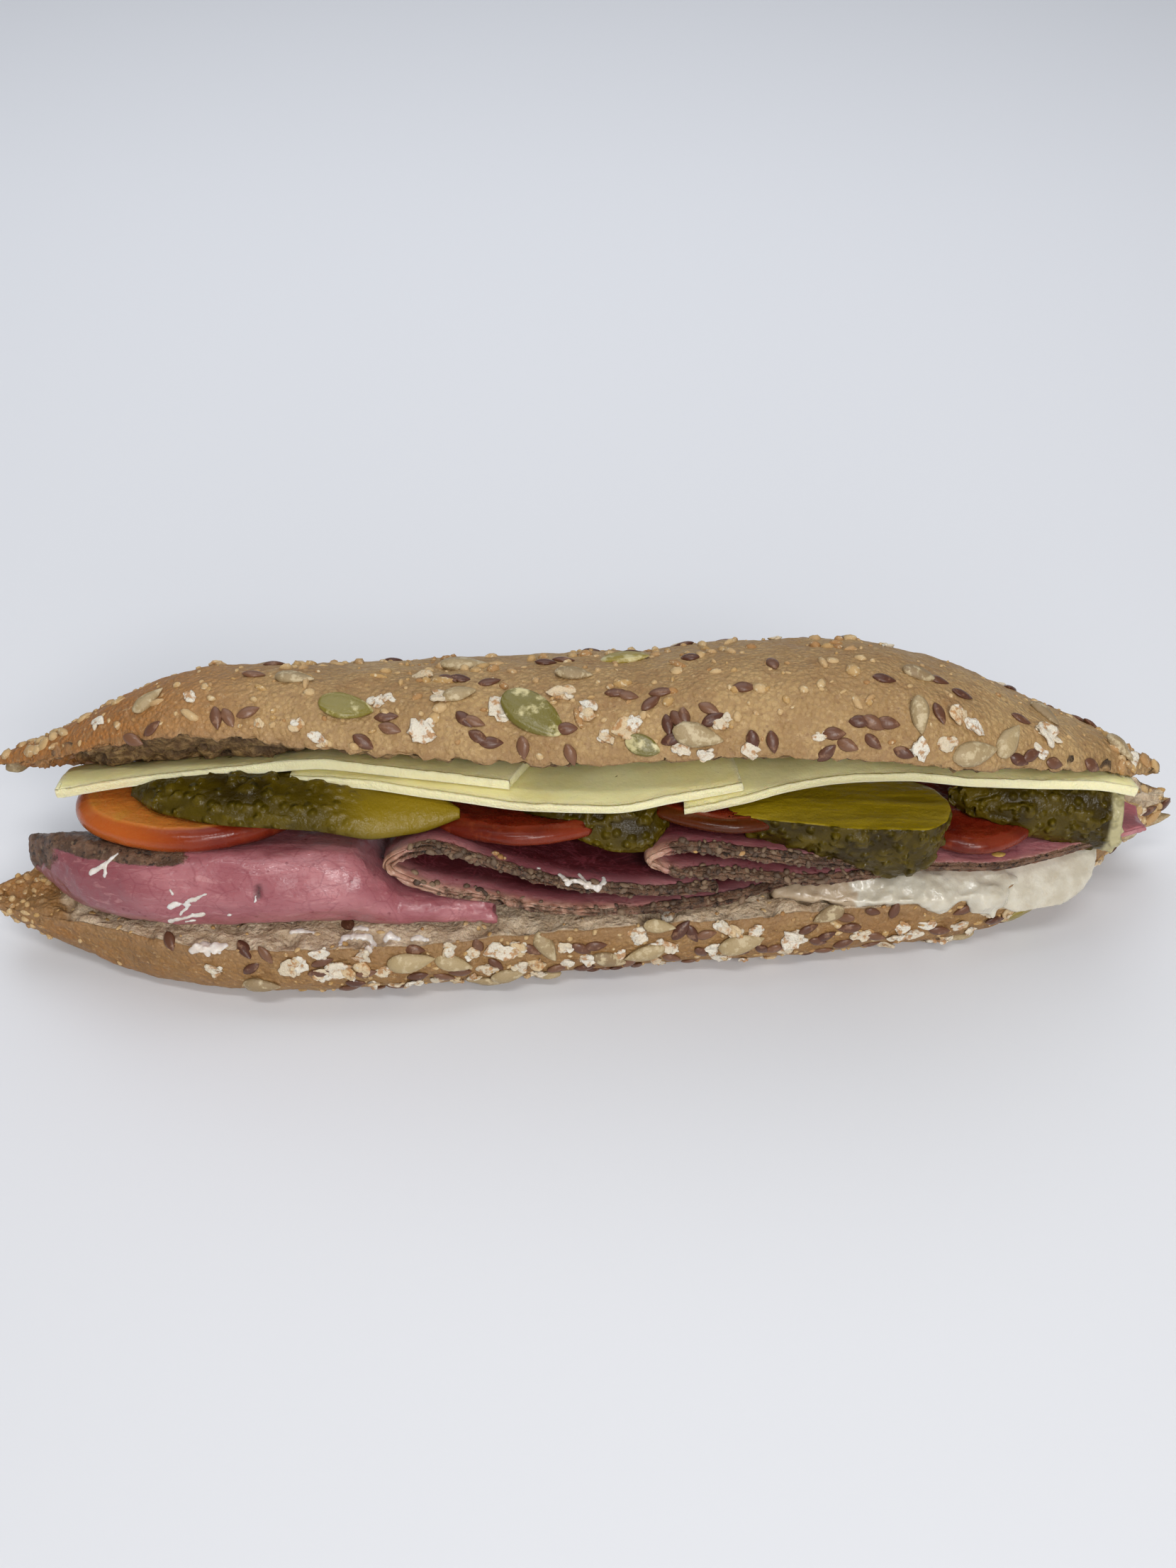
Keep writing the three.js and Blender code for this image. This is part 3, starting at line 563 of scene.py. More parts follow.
def pickle_paint():
    p = Paint("pickle")
    broad = p.step(p.noise(9, 3, 0.5, (0.6, 1, 1)), 0.35, 0.65)
    skin = p.mix(broad, (0.028, 0.017, 0.0006), (0.075, 0.05, 0.0015))
    skin = p.mix(p.times(p.mask("wart"), 0.3), skin, (0.16, 0.11, 0.006))
    skin = p.mix(p.mask("pale"), skin, (0.33, 0.225, 0.012))
    streak = p.noise(2.2, 4, 0.6, (0.15, 1, 1), 0.3)
    flesh = p.mix(p.step(streak, 0.35, 0.65), (0.21, 0.145, 0.002), (0.31, 0.22, 0.008))
    colour = p.mix(p.mask("face"), skin, flesh)
    colour = p.mix(p.mask("cut"), colour, (0.45, 0.40, 0.22))
    warts = p.times(p.step(p.cells(2.6, "F1", None, 0.85), 0.5, 0.05), p.mask("warty"))
    colour = p.mix(p.times(warts, 0.3), colour, (0.17, 0.125, 0.01))
    height = p.plus(p.times(streak, 0.5), p.noise(1.2, 3, 0.6))
    height = p.plus(height, p.times(warts, 3.2))
    return p.finish(colour, p.step(p.noise(2.4), 0.3, 0.7, 0.3, 0.46), p.bump(height, 0.28),
                    soft=(0.06, (0.9, 0.8, 0.1), 0.0015),
                    specular=0.1, coat=(0.2, 0.04))


def dressing_paint(name, low, high):
    p = Paint(name)
    colour = p.mix(p.step(p.noise(5, 3), 0.35, 0.65), low, high)
    colour = p.mix(p.step(p.noise(1.3, 3), 0.6, 0.75, 0, 0.3), colour, (0.56, 0.45, 0.29))
    thin = p.step(p.plus(p.mask("thin"), p.times(p.noise(3.0, 4, 0.6), 0.8)), 0.82, 1.0, 0, 0.7)
    colour = p.mix(thin, colour, (0.44, 0.31, 0.18))
    return p.finish(colour, p.step(p.noise(3), 0.35, 0.65, 0.2, 0.34), p.bump(p.noise(1.8, 3), 0.2),
                    soft=(0.4, (1.0, 0.85, 0.6), 0.002),
                    coat=(0.2, 0.15))


def seed_paint(name, tones, accent, accent_size, accent_low, roughness, depth, grain=0.6, **settings):
    """Seeds that differ from each other in tone, each with patches of an accent colour."""
    p = Paint(name)
    tone = p.mask("tone")
    colour = p.mix(p.step(tone, 0.0, 0.5), tones[0], tones[1])
    colour = p.mix(p.step(tone, 0.5, 1.0), colour, tones[2])
    patch = p.step(p.noise(accent_size, 4, 0.6), accent_low, accent_low + 0.12)
    colour = p.mix(p.times(patch, 0.85), colour, accent)
    return p.finish(colour, p.step(p.noise(1.5), 0.3, 0.7, roughness, roughness + 0.15),
                    p.bump(p.noise(grain, 3, 0.6), depth), **settings)


# The two halves of the roll

YAW = 0.105
FORWARD = 1.5
BOTTOM_DEPTH = 20.6
BOTTOM_CORNER = 3.2
PINCH = 0.07
BACKSET = 3.0
TOP_CORNER = 2.3

bottom_width = through(
    (-138, 2.5), (-131, 7), (-118, 13.5), (-107, 18.6), (-98, 23), (-80, 28.5), (-50, 31.6),
    (70, 31.6), (93, 28.5), (112, 19), (126, 11), (136, 5), (141, 2),
)
cut_height = through(
    (-138, 15), (-118, 17.5), (-90, 18.6), (0, 18.2), (90, 18.8), (118, 19.5), (130, 21), (141, 19)
)
bottom_depth = through(
    (-138, 2.5), (-130, 8), (-118, 14), (-104, 18.6), (-88, BOTTOM_DEPTH),
    (92, BOTTOM_DEPTH), (112, 19), (126, 15), (136, 8), (141, 3),
)
lean = through((-136, 42), (-86, 42), (-46, 34), (0, 28), (57, 26), (98, 22), (134, 20))
top_spine = through(
    (-136, 38.4), (-124, 38.8), (-111, 41.6), (-86, 46), (-46, 46), (0, 47), (34, 49.6),
    (57, 49.6), (82, 46.8), (98, 45.2), (114, 42), (126, 37.8), (134, 36),
)
top_width = through(
    (-136, 2), (-128, 7.5), (-118, 13.5), (-100, 21), (-80, 26), (-50, 28.5),
    (66, 28.5), (84, 25), (98, 19.5), (112, 13), (123, 7), (132, 1.8),
)
top_height = through(
    (-136, 1.8), (-128, 5), (-118, 8.4), (-100, 13), (-80, 16.6), (-40, 17.5), (0, 18),
    (30, 18.4), (60, 19.4), (80, 17), (96, 11.6), (112, 7), (123, 4.4), (132, 1.8),
)


def bottom_middle(x):
    return YAW * x - FORWARD


def section(turn, corner):
    """Across and up for a superellipse section, from the front edge at 0 to the back edge at 1."""
    angle = np.pi * turn
    up = np.abs(np.sin(angle)) ** (2 / corner)
    side = -np.sign(np.cos(angle)) * np.abs(np.cos(angle)) ** (2 / corner)
    return side, up


def bottom_crust(x, turn):
    side, down = section(turn, BOTTOM_CORNER)
    relief = 0.5 * lumps(x / 17, turn * 6, 3.1)
    width = bottom_width(x) * (1 - PINCH * (1 - down) ** 2) + relief
    z = cut_height(x) - down * (bottom_depth(x) + relief)
    return vec(x, bottom_middle(x) + side * width, z)


def top_point(x, across, up):
    a = np.radians(lean(x))
    y = BACKSET + across * np.cos(a) + up * np.sin(a)
    return vec(x, y, top_spine(x) - across * np.sin(a) + up * np.cos(a))


def top_crust(x, turn):
    side, up = section(turn, TOP_CORNER)
    relief = 0.7 * lumps(x / 15, turn * 5, 7.7)
    return top_point(x, side * (top_width(x) + relief), up * (top_height(x) + relief))


def lid_height(x, y):
    return top_spine(x) - (y - BACKSET) * np.tan(np.radians(lean(x)))


def lower_crumb(x, t, fade):
    return vec(0, 0, 0.8 * fade * lumps(x / 4, t * 9, 1.7))


def upper_crumb(x, t, fade):
    pad = smooth(-118, -104, x) * (1 - smooth(-72, -56, x)) * smooth(0, 0.35, 1 - t)
    down = (4.8 * pad + 0.8 * lumps(x / 4, t * 9, 4.2)) * fade
    return top_point(x, 0, -down) - top_point(x, 0, 0)


def half_roll(name, ends, crust, crumb, node, paint, others, direction, depth):
    """One half of the roll: crust round the outside, and a torn face where it was cut, pitted to a depth.

    The torn face is kept clear of the other pieces by moving it up (direction 1) or down (-1).
    """
    left, right = ends
    i = np.arange(RINGS)
    s = -np.cos(np.pi * (i + 0.5) / RINGS) / math.cos(math.pi / (2 * RINGS))
    even = 2 * i / (RINGS - 1) - 1
    x = mix(left, right, (0.55 * s + 0.45 * even + 1) / 2)[:, None]
    turn = np.linspace(0, 1, CRUST_STEPS + 1)
    turn = turn - 0.6 * np.sin(2 * np.pi * turn) / (2 * np.pi)
    t = np.arange(1, FACE_STEPS) / FACE_STEPS
    outer = crust(x, turn[None, :])
    inner = mix(outer[:, -1:], outer[:, :1], t[None, :, None])
    inner = inner + crumb(x, t[None, :], np.minimum(1, 4 * t * (1 - t))[None, :])
    rings = np.concatenate([outer, inner], axis=1)
    points, faces = loft(rings)
    out = normals_of(points, faces)
    count = rings.shape[1]
    column = np.concatenate([np.tile(np.arange(count), RINGS), [0, 0]])
    is_crumb = (column > CRUST_STEPS).astype(float)
    edge = np.minimum(np.abs(column - CRUST_STEPS), np.minimum(column, count - column)) / 5
    near_edge = np.exp(-(edge**2))
    skin = 0.34 * rough(points, 6, 3) + 0.17 * rough(points, 1.9, 2, 40)
    holes = rough(points, 4.2, 3, 90)
    torn = depth * (0.7 * rough(points, 3.0, 3, 60) - 1.5 * smooth(0.15, 0.8, holes))
    move = mix(skin, torn, is_crumb) + near_edge * 0.7 * rough(points, 2.6, 3, 120)
    tips = smooth(left, left + 9, points[:, 0]) * (1 - smooth(right - 9, right, points[:, 0]))
    points = points + out * (move * mix(0.6, 1, tips))[:, None]
    points[:, 2] = np.maximum(points[:, 2], 0)
    push_clear(points, is_crumb > 0.5, others, direction)
    shown = is_crumb * smooth(left + 12, left + 32, points[:, 0] + 5 * rough(points, 7, 2, 33))
    masks = {"crumb": shown, "pits": smooth(0.0, 0.8, holes) * is_crumb, "edge": near_edge}
    return mesh_object(name, points, faces, paint, masks, (node,))


# Fillings

made = []


def filling(node, paint, points, faces, masks, relief):
    """One filling: its relief is added, and it gives way to the fillings made before it."""
    points = points + normals_of(points, faces) * relief[:, None]
    piece = mesh_object(node + "_sliced", points, faces, paint, masks, (node,))
    carve(piece, made)
    made.append(piece)


CHEESES = {
    "cheese_1": dict(
        ends=(-118, -17), slant=16, front=through((-117, -12), (-60, -12.5), (-40, -15), (-12, -18.5)),
        back=through((-118, 12), (-100, 18), (-80, 21), (-16, 22)),
        height=through((-117, 42.8), (-100, 46.8), (-80, 50), (-60, 52.8), (-40, 52.2), (-12, 50.6)),
        below=through((-117, 3.5), (-90, 7), (-72, 5.4), (-58, 2.4)),
    ),
    "cheese_2": dict(
        ends=(-65, 33.5), slant=-6,
        front=through((-66, -14), (-50, -15.5), (-34, -18.5), (-12, -20.8), (5, -21), (20, -19), (40, -16.5)),
        back=through((-66, 24), (40, 24)),
        height=through((-66, 49.2), (-50, 49.4), (-30, 48.6), (-12, 46.9), (5, 46.5), (18, 47.8), (38, 50.4)),
        below=through((-66, 7.4), (-58, 5.8), (-14, 5.6), (8, 2.4)),
    ),
    "cheese_3": dict(
        ends=(21, 123), slant=0,
        front=through((18, -20.5), (34, -18), (44, -15), (56, -12.8), (70, -12), (100, -11.5), (125, -9)),
        back=through((20, 24), (85, 23), (105, 17), (123, 9)),
        height=through(
            (18, 44.2), (34, 46.6), (50, 47.8), (70, 48), (86, 46.2), (100, 45.8), (112, 46), (125, 45)
        ),
        below=through((18, 5.8), (40, 5.8), (60, 2.2)),
    ),
}


def cheese_slice(node, paint):
    """A slice of cheese, level along the front and sloping down behind, with a crumbly cut rim."""
    form = CHEESES[node]

    def middle(u, v):
        x0 = mix(*form["ends"], u)
        y = mix(form["front"](x0), form["back"](x0), v)
        x = x0 + form["slant"] * u * v
        return vec(x, y, soft_min(form["height"](x), lid_height(x, y) - form["below"](x), 7))

    points, faces, *_, rim = slab((140, 24, 5), middle, CHEESE, 0.1)
    near = np.exp(-(rim**2))
    crumbly = 0.10 * rough(points, 1.3, 3) + 0.16 * rough(points, 4, 2, 9)
    relief = 0.07 * rough(points, 9, 2) + near * crumbly
    filling(node, paint, points, faces, {"rim": near}, relief)


def first_beef(paint):
    """A fold of beef open at the back: it comes forward on the bread, turns up and goes back over itself."""
    station = through((0, -127), (0.42, -84), (0.62, -57), (0.86, -42), (1, -21))
    front = through(
        (-127, -14), (-118, -23), (-108, -29), (-90, -32.6), (-60, -32), (-40, -30), (-21, -28.5)
    )
    low = through((-127, 21.5), (-112, 20.2), (-60, 20.2), (-21, 20.2))
    high = through(
        (-127, 29), (-115, 35.5), (-92, 37.6), (-60, 37.2), (-52, 36), (-47, 30.6), (-41, 25.8), (-21, 23.5)
    )

    def middle(u, v):
        x = station(u)
        back = bottom_middle(x) + 0.6 * bottom_width(x)
        r = (high(x) - low(x)) / 2
        bend = np.clip((v - 0.2) / 0.6, 0, 1) * np.pi
        y0 = front(x) + 0.8 * r
        y = y0 - 0.8 * r * np.sin(bend)
        z = (high(x) + low(x)) / 2 - r * np.cos(bend)
        t = np.clip((v - 0.8) / 0.2, 0, 1)
        y = np.where(v < 0.2, mix(back, y0, v / 0.2), np.where(v > 0.8, mix(y0, back, t), y))
        z = np.where(v > 0.8, mix(high(x), low(x) + 3.1, t), z)
        return vec(x, y, z)

    points, faces, _, v, w, _ = slab((170, 78, 3), middle, BEEF, 0.3, 0.5)
    x, z = points[:, 0], points[:, 2]
    crust = smooth(2.5, -2.5, x + 126.5 - 7 * smooth(24, 34, z) + 3 * rough(points, 6, 2, 21))
    band = smooth(0.68, 0.74, v) * (1 - smooth(0.86, 0.95, v))
    roasted = np.maximum(crust, band * smooth(-86, -93, x + 6 * rough(points, 9, 2, 3)))
    relief = 0.55 * rough(points * (0.35, 1, 1), 6, 3) + 0.18 * rough(points, 1.6, 2, 5)
    relief = relief + 0.3 * roasted * rough(points, 1.4, 3, 8)
    relief = relief + smooth(-28, -22, x) * 0.9 * rough(points, 2.4, 2, 33)
    nick = np.exp(-(((x + 71) / 0.9) ** 2) - ((z - 32.8) / 1.9) ** 2) * (points[:, 1] < -20)
    relief = relief - 1.8 * nick * (w > 0)
    # Painted shade inside the fold, behind its front, and in the nick.
    deep = np.maximum(smooth(-14, -4, points[:, 1]), smooth(0.3, 0.6, nick))
    filling("beef_1", paint, points, faces, {"rim": roasted, "deep": deep}, relief)


FOLDS = {
    "beef_2": dict(
        path=[
            (46, 23), (28, 22.2), (10, 21.8), (-8, 23), (-22, 26.4), (-34, 28.4),
            (-43.8, 34.8), (-35, 41), (-21, 37), (-6, 31.4), (10, 28), (28, 27),
        ],
        floor=through((-34, 28.4), (-22, 26.4), (-8, 23), (10, 21.8), (28, 22.2), (46, 23)),
        front=through((-47, -26.5), (-36, -27.6), (-10, -28.8), (10, -28), (28, -25.8), (46, -20)),
        back=21, sag=0.26,
    ),
    "beef_3": dict(
        path=[
            (66, 26.4), (48, 28.6), (30, 30.6), (19, 31.2), (13.5, 34.8),
            (19, 38.2), (34, 37), (50, 34.2), (62, 31), (70, 29.6),
        ],
        floor=through((19, 31.2), (30, 30.6), (48, 28.6), (66, 26.4)),
        front=through((12, -25), (46, -25.5), (70, -20)),
        back=22, sag=0.12,
    ),
}


def folded_beef(node, paint):
    """A folded slice seen edge on, its rim dark with pepper and roasting."""
    form = FOLDS[node]
    curve = curve_through(form["path"])

    def middle(u, v):
        p = curve(u)
        x = p[..., 0]
        front = form["front"](x)
        y = mix(front, form["back"], v)
        room = np.maximum(0, p[..., 1] - form["floor"](x) - LAYERS)
        fall = form["sag"] * (y - front)
        return vec(x, y, p[..., 1] - fall * room / (fall + room + 0.01))

    points, faces, u, v, *_ = slab((250, 46, 5), middle, BEEF, 0.3, 0.85)
    from_front = v * 48
    crust = np.exp(-((from_front / 1.6) ** 2))
    relief = 0.28 * rough(points * (0.5, 1, 1), 5, 3)
    relief = relief + crust * (0.3 + 0.4 * rough(points, 1.5, 3) + 0.45 * rough(points, 3.2, 2, 6))
    nose = np.exp(-(((points[:, 0] - points[:, 0].min()) / 8) ** 2)) * np.exp(-((from_front / 2.6) ** 2))
    under = smooth(0.56, 0.48, u) * smooth(24, 4, points[:, 0]) * (node == "beef_2")
    tan = crust * np.maximum(0.6 * smooth(-0.2, 0.5, rough(points, 7, 2, 77)), 0.8 * under)
    masks = {
        "rim": 1.15 * crust * (1 - 0.9 * nose) * (1 - 0.42 * under) - 0.25 * tan,
        "fat": np.maximum(0.9 * nose, tan),
        # painted shade, darker away from the front rim, inside the fold
        "deep": smooth(1.5, 6, from_front),
    }
    filling(node, paint, points, faces, masks, relief)


def beef_leaf(paint):
    """A single slice of beef lying out to the right-hand tip."""
    front = through((68, -19.5), (90, -18.5), (104, -15), (116, -11), (129, -6.5))
    back = through((68, 22), (95, 20), (112, 12), (129, 1.5))

    def middle(u, v):
        x = mix(68, 129, u)
        return vec(x, mix(front(x), back(x), v), 25.4 + 0.7 * np.sin(x / 9) + 0.8 * np.cos(5 * v))

    points, faces, _, v, *_ = slab((120, 50, 5), middle, BEEF, 0.3)
    crust = np.exp(-((v * 40 / 1.4) ** 2)) * smooth(126, 116, points[:, 0])
    relief = 0.3 * rough(points, 6, 3) + crust * 0.25 * rough(points, 1.2, 3)
    filling("beef_4", paint, points, faces, {"rim": 0.75 * crust, "fat": 0.5 * crust}, relief)


# Each slice: its middle, its radius along and across, its thickness and its slopes to the back and the right
TOMATOES = {
    "tomato_1": ((-89, -5, 35), (27.5, 22.5), 7.4, -0.3, 0.01),
    "tomato_2": ((-15, -4, 35), (25.5, 22.5), 5.6, -0.31, 0.0),
    "tomato_3": ((30, -4, 37.6), (22, 20), 4.4, -0.28, -0.05),
    "tomato_4": ((87, -1, 29.4), (17, 17.5), 5.0, -0.12, 0.0),
}


def tomato_slice(node, paint):
    """A round slice with a bulging skin, tipped down towards the back."""
    at, radius, thick, tip, roll = TOMATOES[node]
    rim = np.linspace(1, -1, 17)
    skin_radius = 0.86 + 0.14 * (1 - np.abs(rim) ** 2.4)
    top = np.linspace(0.03, 0.84, 20)
    r = np.concatenate([top, skin_radius, top[::-1]])
    h = np.concatenate([0 * top + 1, rim, 0 * top - 1])
    a = 2 * np.pi * np.arange(TOMATO_STEPS) / TOMATO_STEPS
    wave = 1 + 0.012 * np.sin(3 * a + at[0]) + 0.008 * np.sin(7 * a)
    x = at[0] + r[:, None] * radius[0] * (np.cos(a) * wave)[None, :]
    y = at[1] + r[:, None] * radius[1] * (np.sin(a) * wave)[None, :]
    z = at[2] + tip * (y - at[1]) + roll * (x - at[0]) + h[:, None] * thick / 2
    points, faces = loft(vec(x, y, z))
    side = np.concatenate([np.repeat((r > 0.862) & (np.abs(h) < 0.97), TOMATO_STEPS), [False, False]])
    relief = np.where(side, 0.1, 0.22) * rough(points, 4, 3)
    relief = relief - np.where(side, 0, 0.12) * rough(points, 1.4, 2, 5)
    filling(node, paint, points, faces, {"skin": side.astype(float)}, relief)


GHERKINS = {
    "pickle_1": dict(
        ends=(-101, -28), y=through((-101, -12), (-80, -13.4), (-45, -14.8), (-28, -19)),
        z=through((-101, 43.6), (-80, 44.4), (-60, 44), (-45, 42.4), (-28, 43.4)),
        width=through((-101, 1.5), (-93, 7.5), (-75, 11), (-50, 11), (-38, 7.5), (-28, 1.2)),
        depth=through((-101, 1.5), (-93, 4), (-75, 5.4), (-50, 5.4), (-38, 4), (-28, 1.2)),
        skin=through((-101, 86), (-60, 90), (-28, 104)), warts=(-96, -52),
    ),
    "pickle_2": dict(
        ends=(-16, 18), y=through((-16, -15), (18, -15)), z=through((-16, 43.4), (5, 40.6), (18, 39.6)),
        width=through((-16, 1.5), (-6, 6), (8, 9.4), (14, 8.6), (18, 3)),
        depth=through((-16, 1), (-6, 4), (8, 5.6), (14, 5), (18, 2)),
        skin=through((-16, 122), (18, 122)), warts=(-40, 40),
    ),
    "pickle_3": dict(
        ends=(23, 80), y=through((23, -17), (40, -15), (60, -14), (80, -14)),
        z=through((23, 43), (40, 42.6), (60, 41.8), (80, 41.2)),
        width=through((23, 1.5), (32, 5), (46, 9), (60, 11.4), (72, 11.4), (78, 7.5), (80, 2.5)),
        depth=through((23, 1.5), (32, 5.5), (46, 11), (60, 15.5), (70, 17.6), (77, 13), (80, 4)),
        skin=through((23, 257), (80, 257)), warts=(0, 120),
    ),
    "pickle_4": dict(
        ends=(82, 121), y=through((82, -6), (100, -4.5), (121, -3)),
        z=through((82, 37), (100, 33.8), (121, 31)),
        width=through((82, 1.5), (88, 4.6), (100, 8.2), (121, 11)),
        depth=through((82, 1.5), (88, 4.6), (100, 8), (121, 9.5)),
        skin=through((82, 165), (121, 160)), warts=(60, 140),
    ),
}


def gherkin(node, paint):
    """A gherkin cut lengthwise: a flat face, and a warty skin that looks along (0, cos, sin) of its angle."""
    form = GHERKINS[node]
    s = np.linspace(0, 1, GHERKIN_RINGS)
    x = mix(*form["ends"], s - 0.6 * np.sin(2 * np.pi * s) / (2 * np.pi))
    a = np.radians(form["skin"](x))
    out, across = vec(0, np.cos(a), np.sin(a))[:, None], vec(0, -np.sin(a), np.cos(a))[:, None]
    centre = vec(x, form["y"](x), form["z"](x))[:, None]
    width, depth = form["width"](x)[:, None, None], form["depth"](x)[:, None, None]
    b = np.linspace(0, np.pi, SKIN_STEPS)[None, :, None]
    skin = centre + across * np.cos(b) * width + out * np.sin(b) * depth
    t = np.linspace(0.97, -0.97, FLESH_STEPS)[None, :, None]
    face = centre - across * t * width - out * 0.4 * (1 - t**6)
    points, faces = loft(np.concatenate([skin, face], axis=1))
    around = np.arange(SKIN_STEPS + FLESH_STEPS)
    is_face = np.concatenate([np.tile(around >= SKIN_STEPS, GHERKIN_RINGS), [False, True]]).astype(float)
    start, end = form["warts"]
    warty = smooth(start - 6, start + 4, points[:, 0]) * (1 - smooth(end - 8, end + 8, points[:, 0]))
    fade = np.sin(np.linspace(0, np.pi, len(around))) ** 0.3
    body = (1 - is_face) * np.concatenate([np.tile(fade, GHERKIN_RINGS), [0, 0]])
    knobs = smooth(0.08, 0.55, rough(points * (0.9, 1, 1), 2.0, 2, 31))
    relief = body * (0.8 * knobs * warty + 0.25 * rough(points, 6, 2)) - 0.25 * body
    relief = relief + is_face * 0.16 * rough(points * (0.4, 1, 1), 3, 3)
    masks = {
        "face": is_face,
        "wart": knobs * warty,
        "warty": warty * (1 - is_face),
        "pale": 0.8 * (1 - warty) * body * smooth(0.2, 0.8, 0.5 + 0.5 * rough(points, 12, 2, 50)),
        "cut": smooth(117.6, 119, points[:, 0]),
    }
    filling(node, paint, points, faces, masks, relief)


def melted(points, faces, grain, passes):
    """Closed bodies that overlap, melted into one skin and smoothed."""
    work = bpy.data.meshes.new("melting")
    work.from_pydata([tuple(p) for p in points], [], faces)
    melt = bpy.data.objects.new("melting", work)
    bpy.context.scene.collection.objects.link(melt)
    remesh = melt.modifiers.new("melt", "REMESH")
    remesh.mode = "VOXEL"
    remesh.voxel_size = grain
    soften = melt.modifiers.new("soften", "SMOOTH")
    soften.iterations = passes
    keep_modified(melt)
    points = np.array([v.co for v in melt.data.vertices])
    corners = [list(face.vertices) for face in melt.data.polygons]
    faces = np.array([face + face[-1:] * (4 - len(face)) for face in corners])
    bpy.data.objects.remove(melt)
    return points, faces


def dressing(paint, others):
    """The white dressing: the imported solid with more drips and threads, melted together and smoothed."""
    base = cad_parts["mayonnaise"].data
    points = [v.co / MM for v in base.vertices]
    faces = [list(f.vertices) for f in base.polygons]
    ball_points, ball_faces = ball(14, 9)
    for x, y, z, a, b, c, turn in DRIPS:
        grown = ball_points * (a, b, c)
        cos, sin = math.cos(turn), math.sin(turn)
        grown = grown @ np.array(((cos, sin, 0), (-sin, cos, 0), (0, 0, 1)))
        offset = len(points)
        points.extend(grown + (x, y, z))
        faces.extend([offset + i for i in face] for face in ball_faces.tolist())
    points, faces = melted(points, faces, DRESSING_GRAIN, 6)
    on_tongue = smooth(88, 97, points[:, 0])
    relief = mix(0.75, 0.12, on_tongue) * rough(points, 4.5, 3)
    relief = relief + mix(0.25, 0.04, on_tongue) * rough(points, 1.8, 2, 7)
    points = points + normals_of(points, faces) * relief[:, None]
    thin = smooth(68, 52, points[:, 0])
    piece = mesh_object("dressing", points, faces, paint, {"thin": thin}, ("mayonnaise",))
    carve(piece, others)


# Seeds, flakes and crumbs


def ball(around, along, profile=lambda t: np.sin(np.pi * t)):
    """A closed round body one unit long along X, with a given half-width along its length, and its faces."""
    t = (1 - np.cos(np.pi * np.arange(1, along) / along)) / 2
    a = 2 * np.pi * np.arange(around) / around
    r = profile(t)[:, None] / 2
    rings = vec((t - 0.5)[:, None], r * np.cos(a), r * np.sin(a))
    points, faces = loft(rings)
    points[-2:] = (-0.5, 0, 0), (0.5, 0, 0)
    return points, faces


def linseed():
    points, faces = ball(10, 9, lambda t: np.sin(np.pi * t**0.85) ** 0.8)
    return points * (1, 1, 0.9), faces


def sunflower():
    points, faces = ball(16, 11, lambda t: np.sin(np.pi * t**0.7) ** 0.8)
    ridges = 1 + 0.07 * np.cos(6 * np.arctan2(points[:, 2], points[:, 1]))
    return points * np.stack([ridges**0, ridges, ridges], axis=1), faces


def pumpkin():
    points, faces = ball(32, 22, lambda t: np.sin(np.pi * t**0.82) ** 0.62)
    half = 0.5 * np.sin(np.pi * np.clip(points[:, 0] + 0.5, 0, 1) ** 0.82) ** 0.62 + 1e-6
    across = np.abs(points[:, 1]) / half
    border = 1 + 0.45 * np.exp(-(((across - 0.86) / 0.09) ** 2)) - 0.12 * np.exp(-((across / 0.2) ** 2))
    return points * np.stack([border**0, border**0, 0.9 * border], axis=1), faces


def oat():
    points, faces = ball(16, 10, lambda t: np.sin(np.pi * t) ** 0.6)
    groove = 1 - 0.5 * np.exp(-((points[:, 1] / 0.08) ** 2))
    curl = 1.3 * (2 * points[:, 1]) ** 2 * (0.7 + points[:, 0]) - 0.3
    return vec(points[:, 0], points[:, 1], points[:, 2] * groove + curl * 0.5), faces


def crumb_bit():
    return ball(7, 5, lambda t: np.sin(np.pi * t) ** 0.6)


# Each kind: its shape, its three sizes, how much they differ, how rough it is, how high it lies, how ragged
KINDS = {
    "pumpkin_seeds": (pumpkin, (12.5, 7.2, 2.6), 0.04, 0.12, 0.15, 0.02),
    "sunflower_kernels": (sunflower, (8.6, 4.4, 2.6), 0.12, 0.2, 0.15, 0.06),
    "oat_flakes": (oat, (4.4, 3.3, 1.05), 0.22, 1.1, 0.3, 0.45),
    "linseeds": (linseed, (5.1, 2.75, 1.5), 0.08, 0.05, 0.12, 0.03),
    "crumbs": (crumb_bit, (1.6, 1.2, 0.9), 0.45, 0.8, 0.0, 0.3),
    "pepper": (crumb_bit, (1.5, 1.1, 0.8), 0.4, 0.9, 0.0, 0.3),
    "tomato_seeds": (linseed, (4.2, 2.4, 1.4), 0.1, 0.1, 0.2, 0.05),
}


def shards(place, dice):
    """A broken flake: a few bits of it that lie over each other."""
    at, out, along, factor = place
    bits = [(at, np.array(out) + dice.normal(size=3) * 0.12, along, factor * 0.95)]
    for _ in range(2):
        shift = dice.normal(size=3)
        shift = 1.3 * factor * unit(shift - np.array(out) * np.dot(shift, out))
        tipped = np.array(out) + dice.normal(size=3) * 0.35
        bits.append((at + shift, tipped, dice.normal(size=3), factor * dice.uniform(0.3, 0.65)))
    return bits


